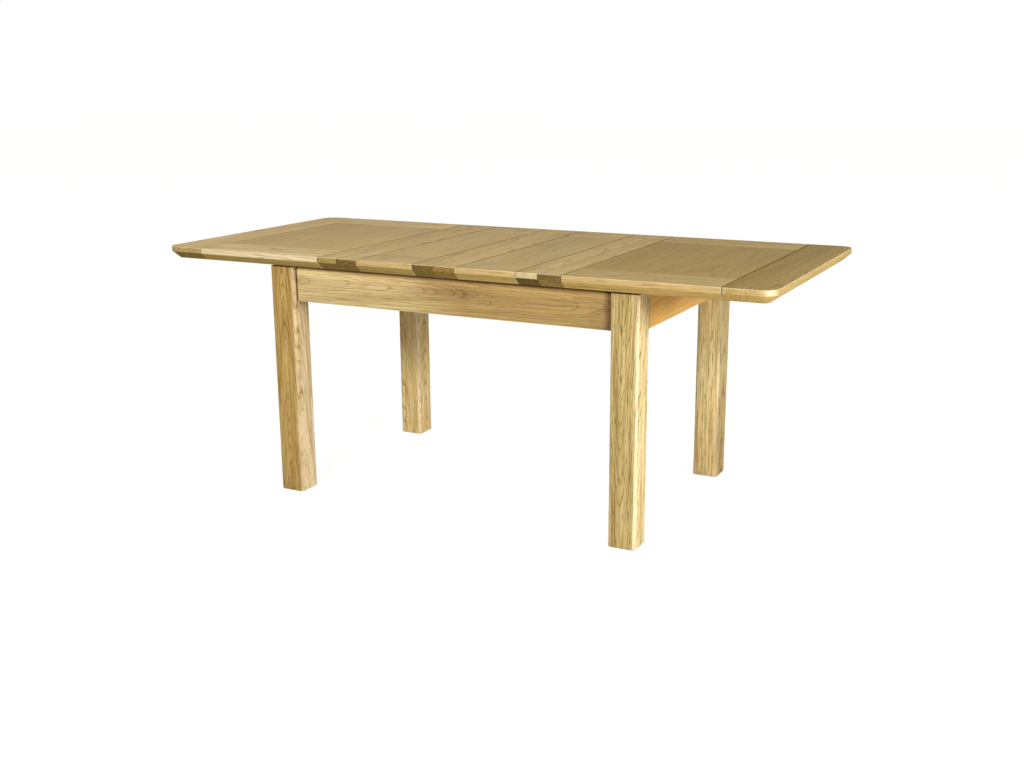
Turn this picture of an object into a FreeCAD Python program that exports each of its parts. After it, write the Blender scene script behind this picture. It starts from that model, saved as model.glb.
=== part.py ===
import FreeCAD, Part
import math
import os
from types import SimpleNamespace

import Sketcher
from FreeCAD import Rotation, Vector

# Oak dining table whose top opens at the middle. Two framed halves slide apart on wooden runners over a
# fixed leg frame, and two loose framed leaves fill the opening. A lever and two links draw both halves
# by the same amount. Frame: +X along the table, -Y is the front, +Z up, origin on the floor below the
# middle of the table. The table stands extended, with both leaves in.

# Driving dimensions, in millimetres.
DIMENSIONS = {
    # table top
    "half_top_length": 668,  # one half of the top, from its outer end to the parting line
    "leaf_width": 337,  # one loose leaf, from parting line to parting line
    "table_width": 906,
    "table_height": 785,
    "top_thickness": 38,
    "edge_face": 16,  # upright part of the edge, above the bevel
    "bevel_inset": 25,
    "under_radius": 20,  # of the outer corners at the underside, inside the bevel
    "leaf_gap": 0.8,  # between a leaf and the half beside it
    "middle_gap": 0.4,  # between the two leaves
    "end_board_width": 142,
    "stile_width": 70,
    "rail_width": 142,
    "vee": 1.5,  # chamfer along each joint of the top
    "panel_thickness": 20,
    "batten_width": 60,
    # joinery of the top
    "tongue_length": 8,
    "tongue_thickness": 8,
    "tongue_drop": 8,  # below the top surface
    "tenon_thickness": 10,
    "tenon_length": 30,
    "tenon_shoulder": 10,
    "fit": 0.2,  # clearance on each face of a joint
    "end_clearance": 1,  # at the end of a tenon or tongue
    "relief_depth": 2,  # of a leaf's mating edge, low down
    "relief_height": 20,
    # leg frame
    "end_overhang": 46,  # of the closed top past the legs
    "side_overhang": 43,
    "leg_width": 85,
    "leg_arris": 7,
    "foot_arris": 3,
    "top_air": 7,  # between the leg frame and the top
    "glide_height": 2.5,
    "glide_radius": 15,
    "apron_height": 110,
    "apron_thickness": 25,
    "front_setback": 19,
    "end_setback": 4,
    "block_thickness": 25,
    "block_height": 36,
    "block_drop": 3,  # below the cross rails
    "block_gap": 3,
    "hanger_radius": 4,
    "hanger_grip": 34,
    "hanger_tail": 12,
    "washer_radius": 11,
    "washer_thickness": 2,
    "nut_radius": 7.5,
    "nut_height": 6.5,
    # slides
    "cross_rail_gap": 6,  # between a cross rail and the legs
    "cross_rail_width": 60,
    "cross_rail_height": 40,
    "stub_tenon": 8,
    "slide_place": 200,  # middle of a slide rail, from the table's long centre line
    "slide_rail_width": 20,
    "slide_gap": 0.3,
    "slide_tongue_length": 6,
    "slide_tongue_height": 8,
    "slide_tongue_drop": 14,  # below the underside of the top
    "slide_air": 3,
    "runner_width": 22,
    "runner_height": 34,
    "runner_tip": 30,  # free end of a runner, from the middle of the table
    "runner_setback": 110,  # of a runner's outer end from the end of the top
    "runner_relief": 0.3,
    "notch_gap": 0.7,
    # screws
    "screw_radius": 2.2,
    "screw_grip": 24,
    "screw_head_radius": 4.4,
    "screw_head_height": 3.5,
    "screw_hole_gap": 0.1,
    "screw_sink": 4,
    # equaliser
    "strap_radius": 12,
    "strap_thickness": 6,
    "strap_spacing": 2,
    "axial_play": 0.2,
    "pin_radius": 5,
    "pin_head_radius": 8,
    "pin_head_height": 2.5,
    "pin_gap": 0.05,
    "pivot_radius": 6,
    "pivot_flange_radius": 14,
    "pivot_grip": 28,
    "pivot_nut_radius": 9,
    "pivot_nut_height": 6,
    "pivot_rail_width": 60,
    "link_drop": 3.7,  # below the tops of the cross rails
    "pivot_rail_height": 38,
    "bracket_length": 90,
    "bracket_width": 40,
    "bracket_thickness": 4,
    "bracket_screw_inset": 12,
    "bracket_post_radius": 9,
    "bracket_post_gap": 0.3,
}

doc = FreeCAD.newDocument("ExtendingTable")
sheet = doc.addObject("Spreadsheet::Sheet", "Sizes")
nodes = {}
TINY = 1e-3


class Size:
    """A length that carries both its number and the spreadsheet formula that gives it."""

    def __init__(self, value, text):
        self.value = value
        self.text = text

    def join(self, other, sign, value):
        return Size(value, f"({self.text} {sign} {as_size(other).text})")

    def __add__(self, other):
        return self.join(other, "+", self.value + as_size(other).value)

    def __sub__(self, other):
        return self.join(other, "-", self.value - as_size(other).value)

    def __mul__(self, other):
        return self.join(other, "*", self.value * as_size(other).value)

    def __truediv__(self, other):
        return self.join(other, "/", self.value / as_size(other).value)

    def __neg__(self):
        return self * -1

    def __radd__(self, other):
        return as_size(other) + self

    def __rsub__(self, other):
        return as_size(other) - self

    def __rmul__(self, other):
        return as_size(other) * self


def as_size(number):
    """A Size stays as it is, and a plain number becomes one."""
    return number if isinstance(number, Size) else Size(float(number), f"({float(number)})")


def fill_sheet():
    """Write each driving dimension to the sheet and give it back as a Size of the same name."""
    sizes = SimpleNamespace()
    for row, (name, value) in enumerate(DIMENSIONS.items(), start=1):
        sheet.set(f"A{row}", name)
        sheet.set(f"B{row}", str(value))
        sheet.setAlias(f"B{row}", name)
        setattr(sizes, name, Size(float(value), f"Sizes.{name}"))
    doc.recompute()
    return sizes


d = fill_sheet()


# ---- helpers: spans, primitives and booleans ----

def bind(item, field, size):
    """Tie one property to the sheet."""
    item.setExpression(field, as_size(size).text)


def place(item, corner, turn=None):
    """Turn a piece and tie its position to the sheet."""
    if turn is not None:
        item.Placement = FreeCAD.Placement(Vector(), turn)
    for axis, size in zip("xyz", corner):
        bind(item, f"Placement.Base.{axis}", size)
    return item


def side(sign, near, far):
    """The span from near to far, measured from a middle plane toward one side of it."""
    return (near, far) if sign > 0 else (-far, -near)


def middle(half):
    """The span that reaches as far to each side of a middle plane."""
    return (-half, half)


def about(centre, half):
    """The span that reaches as far to each side of a place."""
    return (centre - half, centre + half)


def board(name, along_x, along_y, along_z):
    """A rectangular board from its three spans."""
    box = doc.addObject("Part::Box", name)
    for field, span in zip(("Length", "Width", "Height"), (along_x, along_y, along_z)):
        bind(box, field, span[1] - span[0])
    return place(box, [as_size(span[0]) for span in (along_x, along_y, along_z)])


def rod(name, radius, height, foot, toward=Vector(0, 0, 1)):
    """A round bar that starts at foot and runs the given way."""
    cylinder = doc.addObject("Part::Cylinder", name)
    bind(cylinder, "Radius", radius)
    bind(cylinder, "Height", height)
    return place(cylinder, foot, Rotation(Vector(0, 0, 1), toward))


def fuse(name, *pieces):
    """One solid from pieces that meet."""
    whole = doc.addObject("Part::MultiFuse", name)
    whole.Shapes = list(pieces)
    whole.Refine = True
    return whole


def group(name, pieces):
    """Separate solids kept as one node."""
    whole = doc.addObject("Part::Compound", name)
    whole.Links = list(pieces)
    return whole


def cut(name, blank, *tools):
    """What is left of a blank when all the tools are taken out of it."""
    rest = doc.addObject("Part::Cut", name)
    rest.Base = blank
    rest.Tool = tools[0] if len(tools) == 1 else group(f"{name}_tools", tools)
    rest.Refine = True
    return rest


def keep(name, item):
    """Name a finished sub-part and list it for export."""
    item.Label = name
    nodes[name] = item
    return item


def grow(span, gap):
    """A span that is longer by a gap at each end."""
    return (span[0] - gap, span[1] + gap)


# ---- helpers: sketched bodies ----

def new_sketch(body, name, role):
    """An empty sketch on one of the body's own origin planes."""
    sketch = body.newObject("Sketcher::SketchObject", name)
    plane = next(item for item in body.Origin.OriginFeatures if item.Role == role)
    sketch.AttachmentSupport = [(plane, "")]
    sketch.MapMode = "FlatFace"
    return sketch


def constrain(sketch, *arguments):
    """Add one constraint, tied to the sheet if it holds a size."""
    size = arguments[-1]
    if not isinstance(size, Size):
        return sketch.addConstraint(Sketcher.Constraint(*arguments))
    number = sketch.addConstraint(Sketcher.Constraint(*arguments[:-1], size.value))
    sketch.setExpression(f"Constraints[{number}]", size.text)
    return number


def tie_point(sketch, line, end, u, v):
    """Hold one end of a line at a place; a zero puts it on the sketch's axis."""
    for size, kind, axis in ((u, "DistanceX", -2), (v, "DistanceY", -1)):
        if isinstance(size, Size):
            constrain(sketch, kind, -1, 1, line, end, size)
        else:
            constrain(sketch, "PointOnObject", line, end, axis)


def polygon(body, name, role, corners):
    """A closed outline with straight sides. All corners lie in the sketch's first quadrant."""
    sketch = new_sketch(body, name, role)
    points = [Vector(as_size(u).value, as_size(v).value, 0) for u, v in corners]
    for start, end in zip(points, points[1:] + points[:1]):
        sketch.addGeometry(Part.LineSegment(start, end))
    count = len(points)
    for line in range(count):
        constrain(sketch, "Coincident", line, 2, (line + 1) % count, 1)
        tie_point(sketch, line, 1, *corners[line])
    return sketch


def rounded_end(body, name, length, width, radius):
    """A rectangle from the sketch's origin whose two corners on the upright axis are rounded."""
    sketch = new_sketch(body, name, "XY_Plane")
    reach, span, curve = length.value, width.value, radius.value
    quarter = math.pi / 2
    runs = [((curve, 0), (reach, 0)), ((reach, 0), (reach, span)), ((reach, span), (curve, span))]
    for start, end in runs:
        sketch.addGeometry(Part.LineSegment(Vector(*start, 0), Vector(*end, 0)))
    upper = Part.Circle(Vector(curve, span - curve, 0), Vector(0, 0, 1), curve)
    sketch.addGeometry(Part.ArcOfCircle(upper, quarter, 2 * quarter))
    sketch.addGeometry(Part.LineSegment(Vector(0, span - curve, 0), Vector(0, curve, 0)))
    lower = Part.Circle(Vector(curve, curve, 0), Vector(0, 0, 1), curve)
    sketch.addGeometry(Part.ArcOfCircle(lower, 2 * quarter, 3 * quarter))
    constrain(sketch, "Coincident", 0, 2, 1, 1)
    constrain(sketch, "Coincident", 1, 2, 2, 1)
    constrain(sketch, "Tangent", 2, 2, 3, 1)
    constrain(sketch, "Tangent", 3, 2, 4, 1)
    constrain(sketch, "Tangent", 4, 2, 5, 1)
    constrain(sketch, "Tangent", 5, 2, 0, 1)
    constrain(sketch, "PointOnObject", 0, 1, -1)
    constrain(sketch, "PointOnObject", 4, 1, -2)
    constrain(sketch, "Horizontal", 0)
    constrain(sketch, "Vertical", 1)
    constrain(sketch, "Horizontal", 2)
    constrain(sketch, "Vertical", 4)
    constrain(sketch, "DistanceX", -1, 1, 1, 1, length)
    constrain(sketch, "DistanceY", -1, 1, 1, 2, width)
    constrain(sketch, "Radius", 3, radius)
    constrain(sketch, "Radius", 5, radius)
    return sketch


def pad(body, name, sketch, length):
    """Give a sketch its thickness along the sketch's normal."""
    solid = body.newObject("PartDesign::Pad", name)
    solid.Profile = sketch
    bind(solid, "Length", length)
    sketch.Visibility = False
    return solid


def chamfer(body, name, solid, size, wanted):
    """Break each edge whose own bounding box passes the test against the solid's."""
    doc.recompute()
    whole = solid.Shape.BoundBox
    edges = enumerate(solid.Shape.Edges, start=1)
    chosen = [f"Edge{number}" for number, edge in edges if wanted(edge.BoundBox, whole)]
    broken = body.newObject("PartDesign::Chamfer", name)
    broken.Base = (solid, chosen)
    bind(broken, "Size", size)
    return broken


def upright(edge, whole):
    """True for an edge that runs straight up."""
    return edge.XLength < TINY and edge.YLength < TINY


def at_foot(edge, whole):
    """True for an edge round the underside."""
    return edge.ZMax < whole.ZMin + TINY


def at_top(edge, whole):
    """True for an edge round the top face."""
    return edge.ZMin > whole.ZMax - TINY


def across_top(edge, whole):
    """True for an edge of the top face that runs straight along Y."""
    return at_top(edge, whole) and edge.XLength < TINY


def inner_top(edge, whole):
    """True for the top edge along Y that lies farthest along X."""
    return across_top(edge, whole) and edge.XMin > whole.XMax - TINY


def section_body(name, corners, length):
    """A body padded along X from a section drawn across it."""
    body = doc.addObject("PartDesign::Body", name)
    sketch = polygon(body, f"{name}_section", "YZ_Plane", corners)
    return body, pad(body, f"{name}_length", sketch, length)


# ---- places that several pieces share ----

HALF_TURN = Rotation(Vector(0, 0, 1), 180)
DIAGONAL = math.sqrt(0.5)
HALF_LENGTH = d.half_top_length + d.leaf_width
HALF_WIDTH = d.table_width / 2
UNDERSIDE = d.table_height - d.top_thickness
BEVEL_HEIGHT = d.top_thickness - d.edge_face
CORNER_RADIUS = d.bevel_inset + d.under_radius
END_BOARD_EDGE = HALF_LENGTH - d.end_board_width
HALF_STILE_EDGE = d.leaf_width + d.stile_width
INNER_EDGE = HALF_WIDTH - d.rail_width
TONGUE_SPAN = (
    d.table_height - d.tongue_drop - d.tongue_thickness,
    d.table_height - d.tongue_drop,
)
TENON_SPAN = about((UNDERSIDE + TONGUE_SPAN[0]) / 2, d.tenon_thickness / 2)
TENON_NEAR = INNER_EDGE + d.tenon_shoulder
TENON_FAR = HALF_WIDTH - d.bevel_inset - d.tenon_shoulder
PANEL_UNDERSIDE = d.table_height - d.panel_thickness

FRAME_TOP = UNDERSIDE - d.top_air
APRON_FOOT = FRAME_TOP - d.apron_height
LEG_OUT_X = d.half_top_length - d.end_overhang
LEG_OUT_Y = HALF_WIDTH - d.side_overhang
LEG_IN_X = LEG_OUT_X - d.leg_width
LEG_IN_Y = LEG_OUT_Y - d.leg_width
FRONT_OUT = LEG_OUT_Y - d.front_setback
FRONT_IN = FRONT_OUT - d.apron_thickness
END_OUT = LEG_OUT_X - d.end_setback
END_IN = END_OUT - d.apron_thickness
FRONT_MIDDLE = FRONT_IN + d.apron_thickness / 2
END_MIDDLE = END_IN + d.apron_thickness / 2
APRON_TENON_SPAN = (APRON_FOOT + d.tenon_shoulder, FRAME_TOP - d.tenon_shoulder)

RUNNER_FOOT = UNDERSIDE - d.runner_height
CROSS_RAIL_TOP = RUNNER_FOOT - d.slide_gap
CROSS_RAIL_FOOT = CROSS_RAIL_TOP - d.cross_rail_height
CROSS_RAIL_PLACE = LEG_IN_X - d.cross_rail_gap - d.cross_rail_width / 2
BLOCK_TOP = CROSS_RAIL_FOOT - d.block_drop
SLIDE_RAIL_TOP = UNDERSIDE - d.slide_air
SLIDE_TONGUE_TOP = UNDERSIDE - d.slide_tongue_drop
SLIDE_TONGUE_FOOT = SLIDE_TONGUE_TOP - d.slide_tongue_height
RUNNER_OUTER_END = HALF_LENGTH - d.runner_setback
RUNNER_NEAR = {
    -1: d.slide_place - d.slide_rail_width / 2 - d.slide_gap - d.runner_width,
    1: d.slide_place + d.slide_rail_width / 2 + d.slide_gap,
}

LINK_TOP = CROSS_RAIL_TOP - d.link_drop
LINK_FOOT = LINK_TOP - d.strap_thickness
LEVER_TOP = LINK_FOOT - d.strap_spacing
LEVER_FOOT = LEVER_TOP - d.strap_thickness
PIVOT_RAIL_TOP = LEVER_FOOT - d.strap_spacing
PIVOT_RAIL_FOOT = PIVOT_RAIL_TOP - d.pivot_rail_height
BRACKET_PLACE = d.leaf_width + d.stile_width / 2
LEVER_REACH = BRACKET_PLACE / 2  # from the pivot to each end pin, and the length of a link

SIDES = {"left": -1, "right": 1}
FACES = {"front": -1, "back": 1}
CORNERS = [(sx, sy) for sx in SIDES.values() for sy in FACES.values()]
HANGER_BORE = d.hanger_radius + d.pin_gap
BLOCK_INNER = d.block_gap + d.block_thickness
FRAME_RAILS = {
    "cross_rail_left": (-CROSS_RAIL_PLACE, d.cross_rail_width, CROSS_RAIL_FOOT, CROSS_RAIL_TOP),
    "cross_rail_right": (CROSS_RAIL_PLACE, d.cross_rail_width, CROSS_RAIL_FOOT, CROSS_RAIL_TOP),
    "pivot_rail": (as_size(0), d.pivot_rail_width, PIVOT_RAIL_FOOT, PIVOT_RAIL_TOP),
}


# ---- leg frame ----

def apron_tenon(name, sx, sy, along, gap=0):
    """The tenon of a long apron (along X) or an end apron (along Y), or its mortise with a gap."""
    tip = d.tenon_length + (d.end_clearance if gap else 0)
    half = d.tenon_thickness / 2 + gap
    height = grow(APRON_TENON_SPAN, gap)
    if along == "x":
        return board(name, side(sx, LEG_IN_X, LEG_IN_X + tip), about(FRONT_MIDDLE * sy, half), height)
    return board(name, about(END_MIDDLE * sx, half), side(sy, LEG_IN_Y, LEG_IN_Y + tip), height)


def diagonal_place(sx, sy, inward):
    """The start of a bar, this far in from a leg's inner corner along the corner's diagonal."""
    step = inward * DIAGONAL
    height = BLOCK_TOP - d.block_height / 2
    return ((LEG_IN_X - step) * sx, (LEG_IN_Y - step) * sy, height)


def diagonal_rod(name, sx, sy, start, end, radius):
    """A round bar on a corner's diagonal, between two distances in from the leg's inner corner."""
    return rod(name, radius, end - start, diagonal_place(sx, sy, end), Vector(sx, sy, 0))


def make_leg(name, sx, sy):
    """A square post with broken edges, mortised for two aprons and bored for a hanger bolt."""
    body = doc.addObject("PartDesign::Body", f"{name}_post")
    corners = [(0, 0), (d.leg_width, 0), (d.leg_width, d.leg_width), (0, d.leg_width)]
    sketch = polygon(body, f"{name}_section", "XY_Plane", corners)
    post = pad(body, f"{name}_length", sketch, FRAME_TOP - d.glide_height)
    post = chamfer(body, f"{name}_arrises", post, d.leg_arris, upright)
    chamfer(body, f"{name}_foot", post, d.foot_arris, at_foot)
    corner = (side(sx, LEG_IN_X, LEG_OUT_X)[0], side(sy, LEG_IN_Y, LEG_OUT_Y)[0])
    place(body, (*corner, d.glide_height))
    mortises = [apron_tenon(f"{name}_mortise_{along}", sx, sy, along, d.fit) for along in "xy"]
    bore = diagonal_rod(f"{name}_bore", sx, sy, -d.hanger_grip, d.block_gap, HANGER_BORE)
    keep(name, cut(f"{name}_cut", body, *mortises, bore))


def make_long_apron(name, sy):
    """A front or back apron, tenoned into two legs and mortised for the three rails across the frame."""
    plank = board(f"{name}_plank", middle(LEG_IN_X), side(sy, FRONT_IN, FRONT_OUT), (APRON_FOOT, FRAME_TOP))
    tenons = [apron_tenon(f"{name}_tenon_{sx}", sx, sy, "x") for sx in SIDES.values()]
    blank = fuse(f"{name}_blank", plank, *tenons)
    depth = side(sy, FRONT_IN, FRONT_IN + d.stub_tenon + d.end_clearance)
    mortises = []
    for rail, (place_x, width, foot, top) in FRAME_RAILS.items():
        across = about(place_x, width / 2 - d.tenon_shoulder + d.fit)
        upward = grow((foot + d.tenon_shoulder, top - d.tenon_shoulder), d.fit)
        mortises.append(board(f"{name}_mortise_{rail}", across, depth, upward))
    keep(name, cut(f"{name}_cut", blank, *mortises))


def make_end_apron(name, sx):
    """An end apron, tenoned into two legs, with a notch for each runner of its own half of the top."""
    plank = board(f"{name}_plank", side(sx, END_IN, END_OUT), middle(LEG_IN_Y), (APRON_FOOT, FRAME_TOP))
    tenons = [apron_tenon(f"{name}_tenon_{sy}", sx, sy, "y") for sy in FACES.values()]
    blank = fuse(f"{name}_blank", plank, *tenons)
    near = RUNNER_NEAR[sx]
    notches = []
    for sy in FACES.values():
        across = side(sy, near - d.notch_gap, near + d.runner_width + d.notch_gap)
        notches.append(board(f"{name}_notch_{sy}", grow(side(sx, END_IN, END_OUT), d.fit),
                             across, (CROSS_RAIL_TOP, UNDERSIDE)))
    keep(name, cut(f"{name}_cut", blank, *notches))


def make_frame_rail(name, place_x, width, foot, top, *bores):
    """A rail across the leg frame, stub tenoned into the front and back aprons."""
    rail = board(f"{name}_rail", about(place_x, width / 2), middle(FRONT_IN), (foot, top))
    across = about(place_x, width / 2 - d.tenon_shoulder)
    upward = (foot + d.tenon_shoulder, top - d.tenon_shoulder)
    stubs = board(f"{name}_stubs", across, middle(FRONT_IN + d.stub_tenon), upward)
    keep(name, cut(f"{name}_cut", fuse(f"{name}_blank", rail, stubs), *bores))


def make_corner_block(name, sx, sy):
    """A mitred board across a corner of the frame, bored for its hanger bolt."""
    outer = LEG_IN_X + LEG_IN_Y - d.block_gap / DIAGONAL
    inner = outer - d.block_thickness / DIAGONAL
    corners = [
        (inner - FRONT_IN, FRONT_IN),
        (outer - FRONT_IN, FRONT_IN),
        (END_IN, outer - END_IN),
        (END_IN, inner - END_IN),
    ]
    body = doc.addObject("PartDesign::Body", f"{name}_board")
    sketch = polygon(body, f"{name}_outline", "XY_Plane", corners)
    pad(body, f"{name}_height", sketch, d.block_height)
    turns = {
        (1, 1): Rotation(),
        (-1, -1): HALF_TURN,
        (1, -1): Rotation(Vector(1, 0, 0), 180),
        (-1, 1): Rotation(Vector(0, 1, 0), 180),
    }
    level = BLOCK_TOP - d.block_height if sx == sy else BLOCK_TOP
    place(body, (0, 0, level), turns[sx, sy])
    bore = diagonal_rod(f"{name}_bore", sx, sy, as_size(0), BLOCK_INNER + d.fit, HANGER_BORE)
    keep(name, cut(f"{name}_cut", body, bore))


def make_hanger_fasteners():
    """At each corner a bolt through the block into the leg, with a washer and a nut."""
    bolts, washers, nuts = [], [], []
    nut_foot = BLOCK_INNER + d.washer_thickness
    for sx, sy in CORNERS:
        name = f"corner_{sx}_{sy}".replace("-1", "minus").replace("1", "plus")
        tail = BLOCK_INNER + d.hanger_tail
        bolts.append(diagonal_rod(f"{name}_bolt", sx, sy, -d.hanger_grip, tail, d.hanger_radius))
        disc = diagonal_rod(f"{name}_disc", sx, sy, BLOCK_INNER, nut_foot, d.washer_radius)
        hole = diagonal_rod(f"{name}_hole", sx, sy, as_size(0), tail, HANGER_BORE)
        washers.append(cut(f"{name}_washer", disc, hole))
        block = hexagon(f"{name}_block", d.nut_radius, d.nut_height,
                        diagonal_place(sx, sy, nut_foot + d.nut_height), Vector(sx, sy, 0))
        nuts.append(cut(f"{name}_nut", block, hole))
    keep("hanger_bolts", group("bolt_set", bolts))
    keep("hanger_washers", group("washer_set", washers))
    keep("hanger_nuts", group("nut_set", nuts))


def make_foot_glides():
    """A thin round pad under each leg."""
    discs = []
    for sx, sy in CORNERS:
        foot = ((LEG_OUT_X - d.leg_width / 2) * sx, (LEG_OUT_Y - d.leg_width / 2) * sy, 0)
        discs.append(rod("glide", d.glide_radius, d.glide_height, foot))
    keep("foot_glides", group("glide_set", discs))


def make_slide_rail(name, sy, bores):
    """A fixed rail with a tongue along each side, on which the runners hang."""
    tongue, wide = d.slide_tongue_length, d.slide_rail_width
    low = SLIDE_TONGUE_FOOT - CROSS_RAIL_TOP
    high = SLIDE_TONGUE_TOP - CROSS_RAIL_TOP
    top = SLIDE_RAIL_TOP - CROSS_RAIL_TOP
    far = tongue + wide
    corners = [
        (tongue, 0), (far, 0), (far, low), (far + tongue, low), (far + tongue, high), (far, high),
        (far, top), (tongue, top), (tongue, high), (0, high), (0, low), (tongue, low),
    ]
    body = section_body(f"{name}_bar", corners, END_IN * 2)[0]
    place(body, (-END_IN, d.slide_place * sy - wide / 2 - tongue, CROSS_RAIL_TOP))
    keep(name, cut(f"{name}_cut", body, *bores))


# ---- screws and the equaliser ----

def screw(name, x, y, seat, way, length, gap=0, sink=0):
    """An upright screw whose head sits on the level seat; way is 1 for up and -1 for down.

    With a gap it is the bore for that screw, and the sink lets its head in below the surface.
    """
    shank_length = length + (d.end_clearance if gap else 0)
    head_height = d.screw_head_height + gap + sink
    shank_foot = seat if way > 0 else seat - shank_length
    head_foot = seat - head_height if way > 0 else seat
    shank = rod(f"{name}_shank", d.screw_radius + gap, shank_length, (x, y, shank_foot))
    head = rod(f"{name}_head", d.screw_head_radius + gap, head_height, (x, y, head_foot))
    return fuse(name, shank, head)


def slide_screw(name, sx, sy, gap=0):
    """The screw, or the bore, that holds a slide rail down on a cross rail."""
    seat = SLIDE_RAIL_TOP - d.screw_head_height
    length = seat - CROSS_RAIL_TOP + d.screw_grip
    return screw(name, CROSS_RAIL_PLACE * sx, d.slide_place * sy, seat, -1, length, gap)


def runner_screw(name, sx, sy, place_x, gap=0):
    """The screw, or the bore, that holds a runner up against a board of the top."""
    seat = RUNNER_FOOT + d.screw_sink + d.screw_head_height
    length = UNDERSIDE - seat + d.screw_grip
    place_y = (RUNNER_NEAR[sx] + d.runner_width / 2) * sy
    return screw(name, place_x * sx, place_y, seat, 1, length, gap, d.screw_sink if gap else 0)


def bracket_screw(name, sx, sy, gap=0):
    """The screw, or the bore, that holds a link bracket up against a stile."""
    length = d.bracket_thickness + d.screw_grip
    place_y = (d.bracket_length / 2 - d.bracket_screw_inset) * sy
    return screw(name, BRACKET_PLACE * sx, place_y, UNDERSIDE - d.bracket_thickness, 1, length, gap)


def hexagon(name, radius, height, foot, toward=Vector(0, 0, 1)):
    """A six-sided bar that starts at foot and runs the given way."""
    prism = doc.addObject("Part::Prism", name)
    prism.Polygon = 6
    bind(prism, "Circumradius", radius)
    bind(prism, "Height", height)
    return place(prism, foot, Rotation(Vector(0, 0, 1), toward))


def strap(name, start, end, foot, pin_places, bore_radius):
    """A flat bar with round ends, bored to its own radius where each pin goes."""
    pieces = [board(f"{name}_flat", (start, end), middle(d.strap_radius), (foot, foot + d.strap_thickness))]
    for number, place_x in enumerate((start, end)):
        pieces.append(rod(f"{name}_end_{number}", d.strap_radius, d.strap_thickness, (place_x, 0, foot)))
    bores = []
    for number, place_x in enumerate(pin_places):
        radius = bore_radius[number] + d.pin_gap
        bores.append(rod(f"{name}_bore_{number}", radius, d.strap_thickness, (place_x, 0, foot)))
    return keep(name, cut(f"{name}_cut", fuse(f"{name}_blank", *pieces), *bores))


def make_pivot():
    """The stud in the pivot rail, with its flange under the lever, and the nut on top."""
    nut_foot = LEVER_TOP + d.axial_play
    nut_top = nut_foot + d.pivot_nut_height
    foot = PIVOT_RAIL_TOP - d.pivot_grip
    shank = rod("pivot_shank", d.pivot_radius, nut_top - foot, (0, 0, foot))
    flange_height = d.strap_spacing - d.axial_play
    flange = rod("pivot_flange", d.pivot_flange_radius, flange_height, (0, 0, PIVOT_RAIL_TOP))
    keep("pivot_stud", fuse("pivot_stud_whole", shank, flange))
    block = hexagon("pivot_nut_block", d.pivot_nut_radius, d.pivot_nut_height, (0, 0, nut_foot))
    hole = rod("pivot_nut_hole", d.pivot_radius + d.pin_gap, d.pivot_nut_height, (0, 0, nut_foot))
    keep("pivot_nut", cut("pivot_nut_cut", block, hole))


def make_lever_pins():
    """Riveted pins at the lever's ends, each with a collar under its link and a head over it."""
    pins = []
    collar = d.strap_spacing - d.axial_play
    head_foot = LINK_TOP + d.axial_play
    for sx in SIDES.values():
        x = LEVER_REACH * sx
        name = f"lever_pin_{'a' if sx < 0 else 'b'}"
        shank = rod(f"{name}_shank", d.pin_radius, head_foot - LEVER_FOOT, (x, 0, LEVER_FOOT))
        ring = rod(f"{name}_collar", d.pin_head_radius, collar, (x, 0, LEVER_TOP))
        head = rod(f"{name}_head", d.pin_head_radius, d.pin_head_height, (x, 0, head_foot))
        pins.append(fuse(name, shank, ring, head))
    keep("lever_pins", group("lever_pin_set", pins))


def make_bracket(name, sx, bores):
    """A plate under the inner stile, with a post down to the link and the pin of the link's eye."""
    x = BRACKET_PLACE * sx
    plate_foot = UNDERSIDE - d.bracket_thickness
    post_foot = LINK_TOP + d.bracket_post_gap
    plate = board(f"{name}_plate", about(x, d.bracket_width / 2), middle(d.bracket_length / 2),
                  (plate_foot, UNDERSIDE))
    post = rod(f"{name}_post", d.bracket_post_radius, plate_foot - post_foot, (x, 0, post_foot))
    pin = rod(f"{name}_pin", d.pin_radius, post_foot - LINK_FOOT, (x, 0, LINK_FOOT))
    keep(name, cut(f"{name}_cut", fuse(f"{name}_blank", plate, post, pin), *bores))


# ---- framed boards of the top ----

def top_mortise(name, sx, near, far, sy):
    """The mortise for a top rail's tenon."""
    across = grow(side(sy, TENON_NEAR, TENON_FAR), d.fit)
    return board(name, side(sx, near, far), across, grow(TENON_SPAN, d.fit))


def frame_tools(name, sx, face, outward):
    """What an upright board of the frame loses at its jointed face: a panel groove and two mortises."""
    groove_end = face + (d.tongue_length + d.end_clearance) * outward
    mortise_end = face + (d.tenon_length + d.end_clearance) * outward
    spans = [(face, end) if outward > 0 else (end, face) for end in (groove_end, mortise_end)]
    groove_half = INNER_EDGE + d.tongue_length + d.end_clearance
    groove = board(f"{name}_groove", side(sx, *spans[0]), middle(groove_half), grow(TONGUE_SPAN, d.fit))
    mortises = [top_mortise(f"{name}_mortise_{sy}", sx, *spans[1], sy) for sy in FACES.values()]
    return [groove, *mortises]


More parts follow.
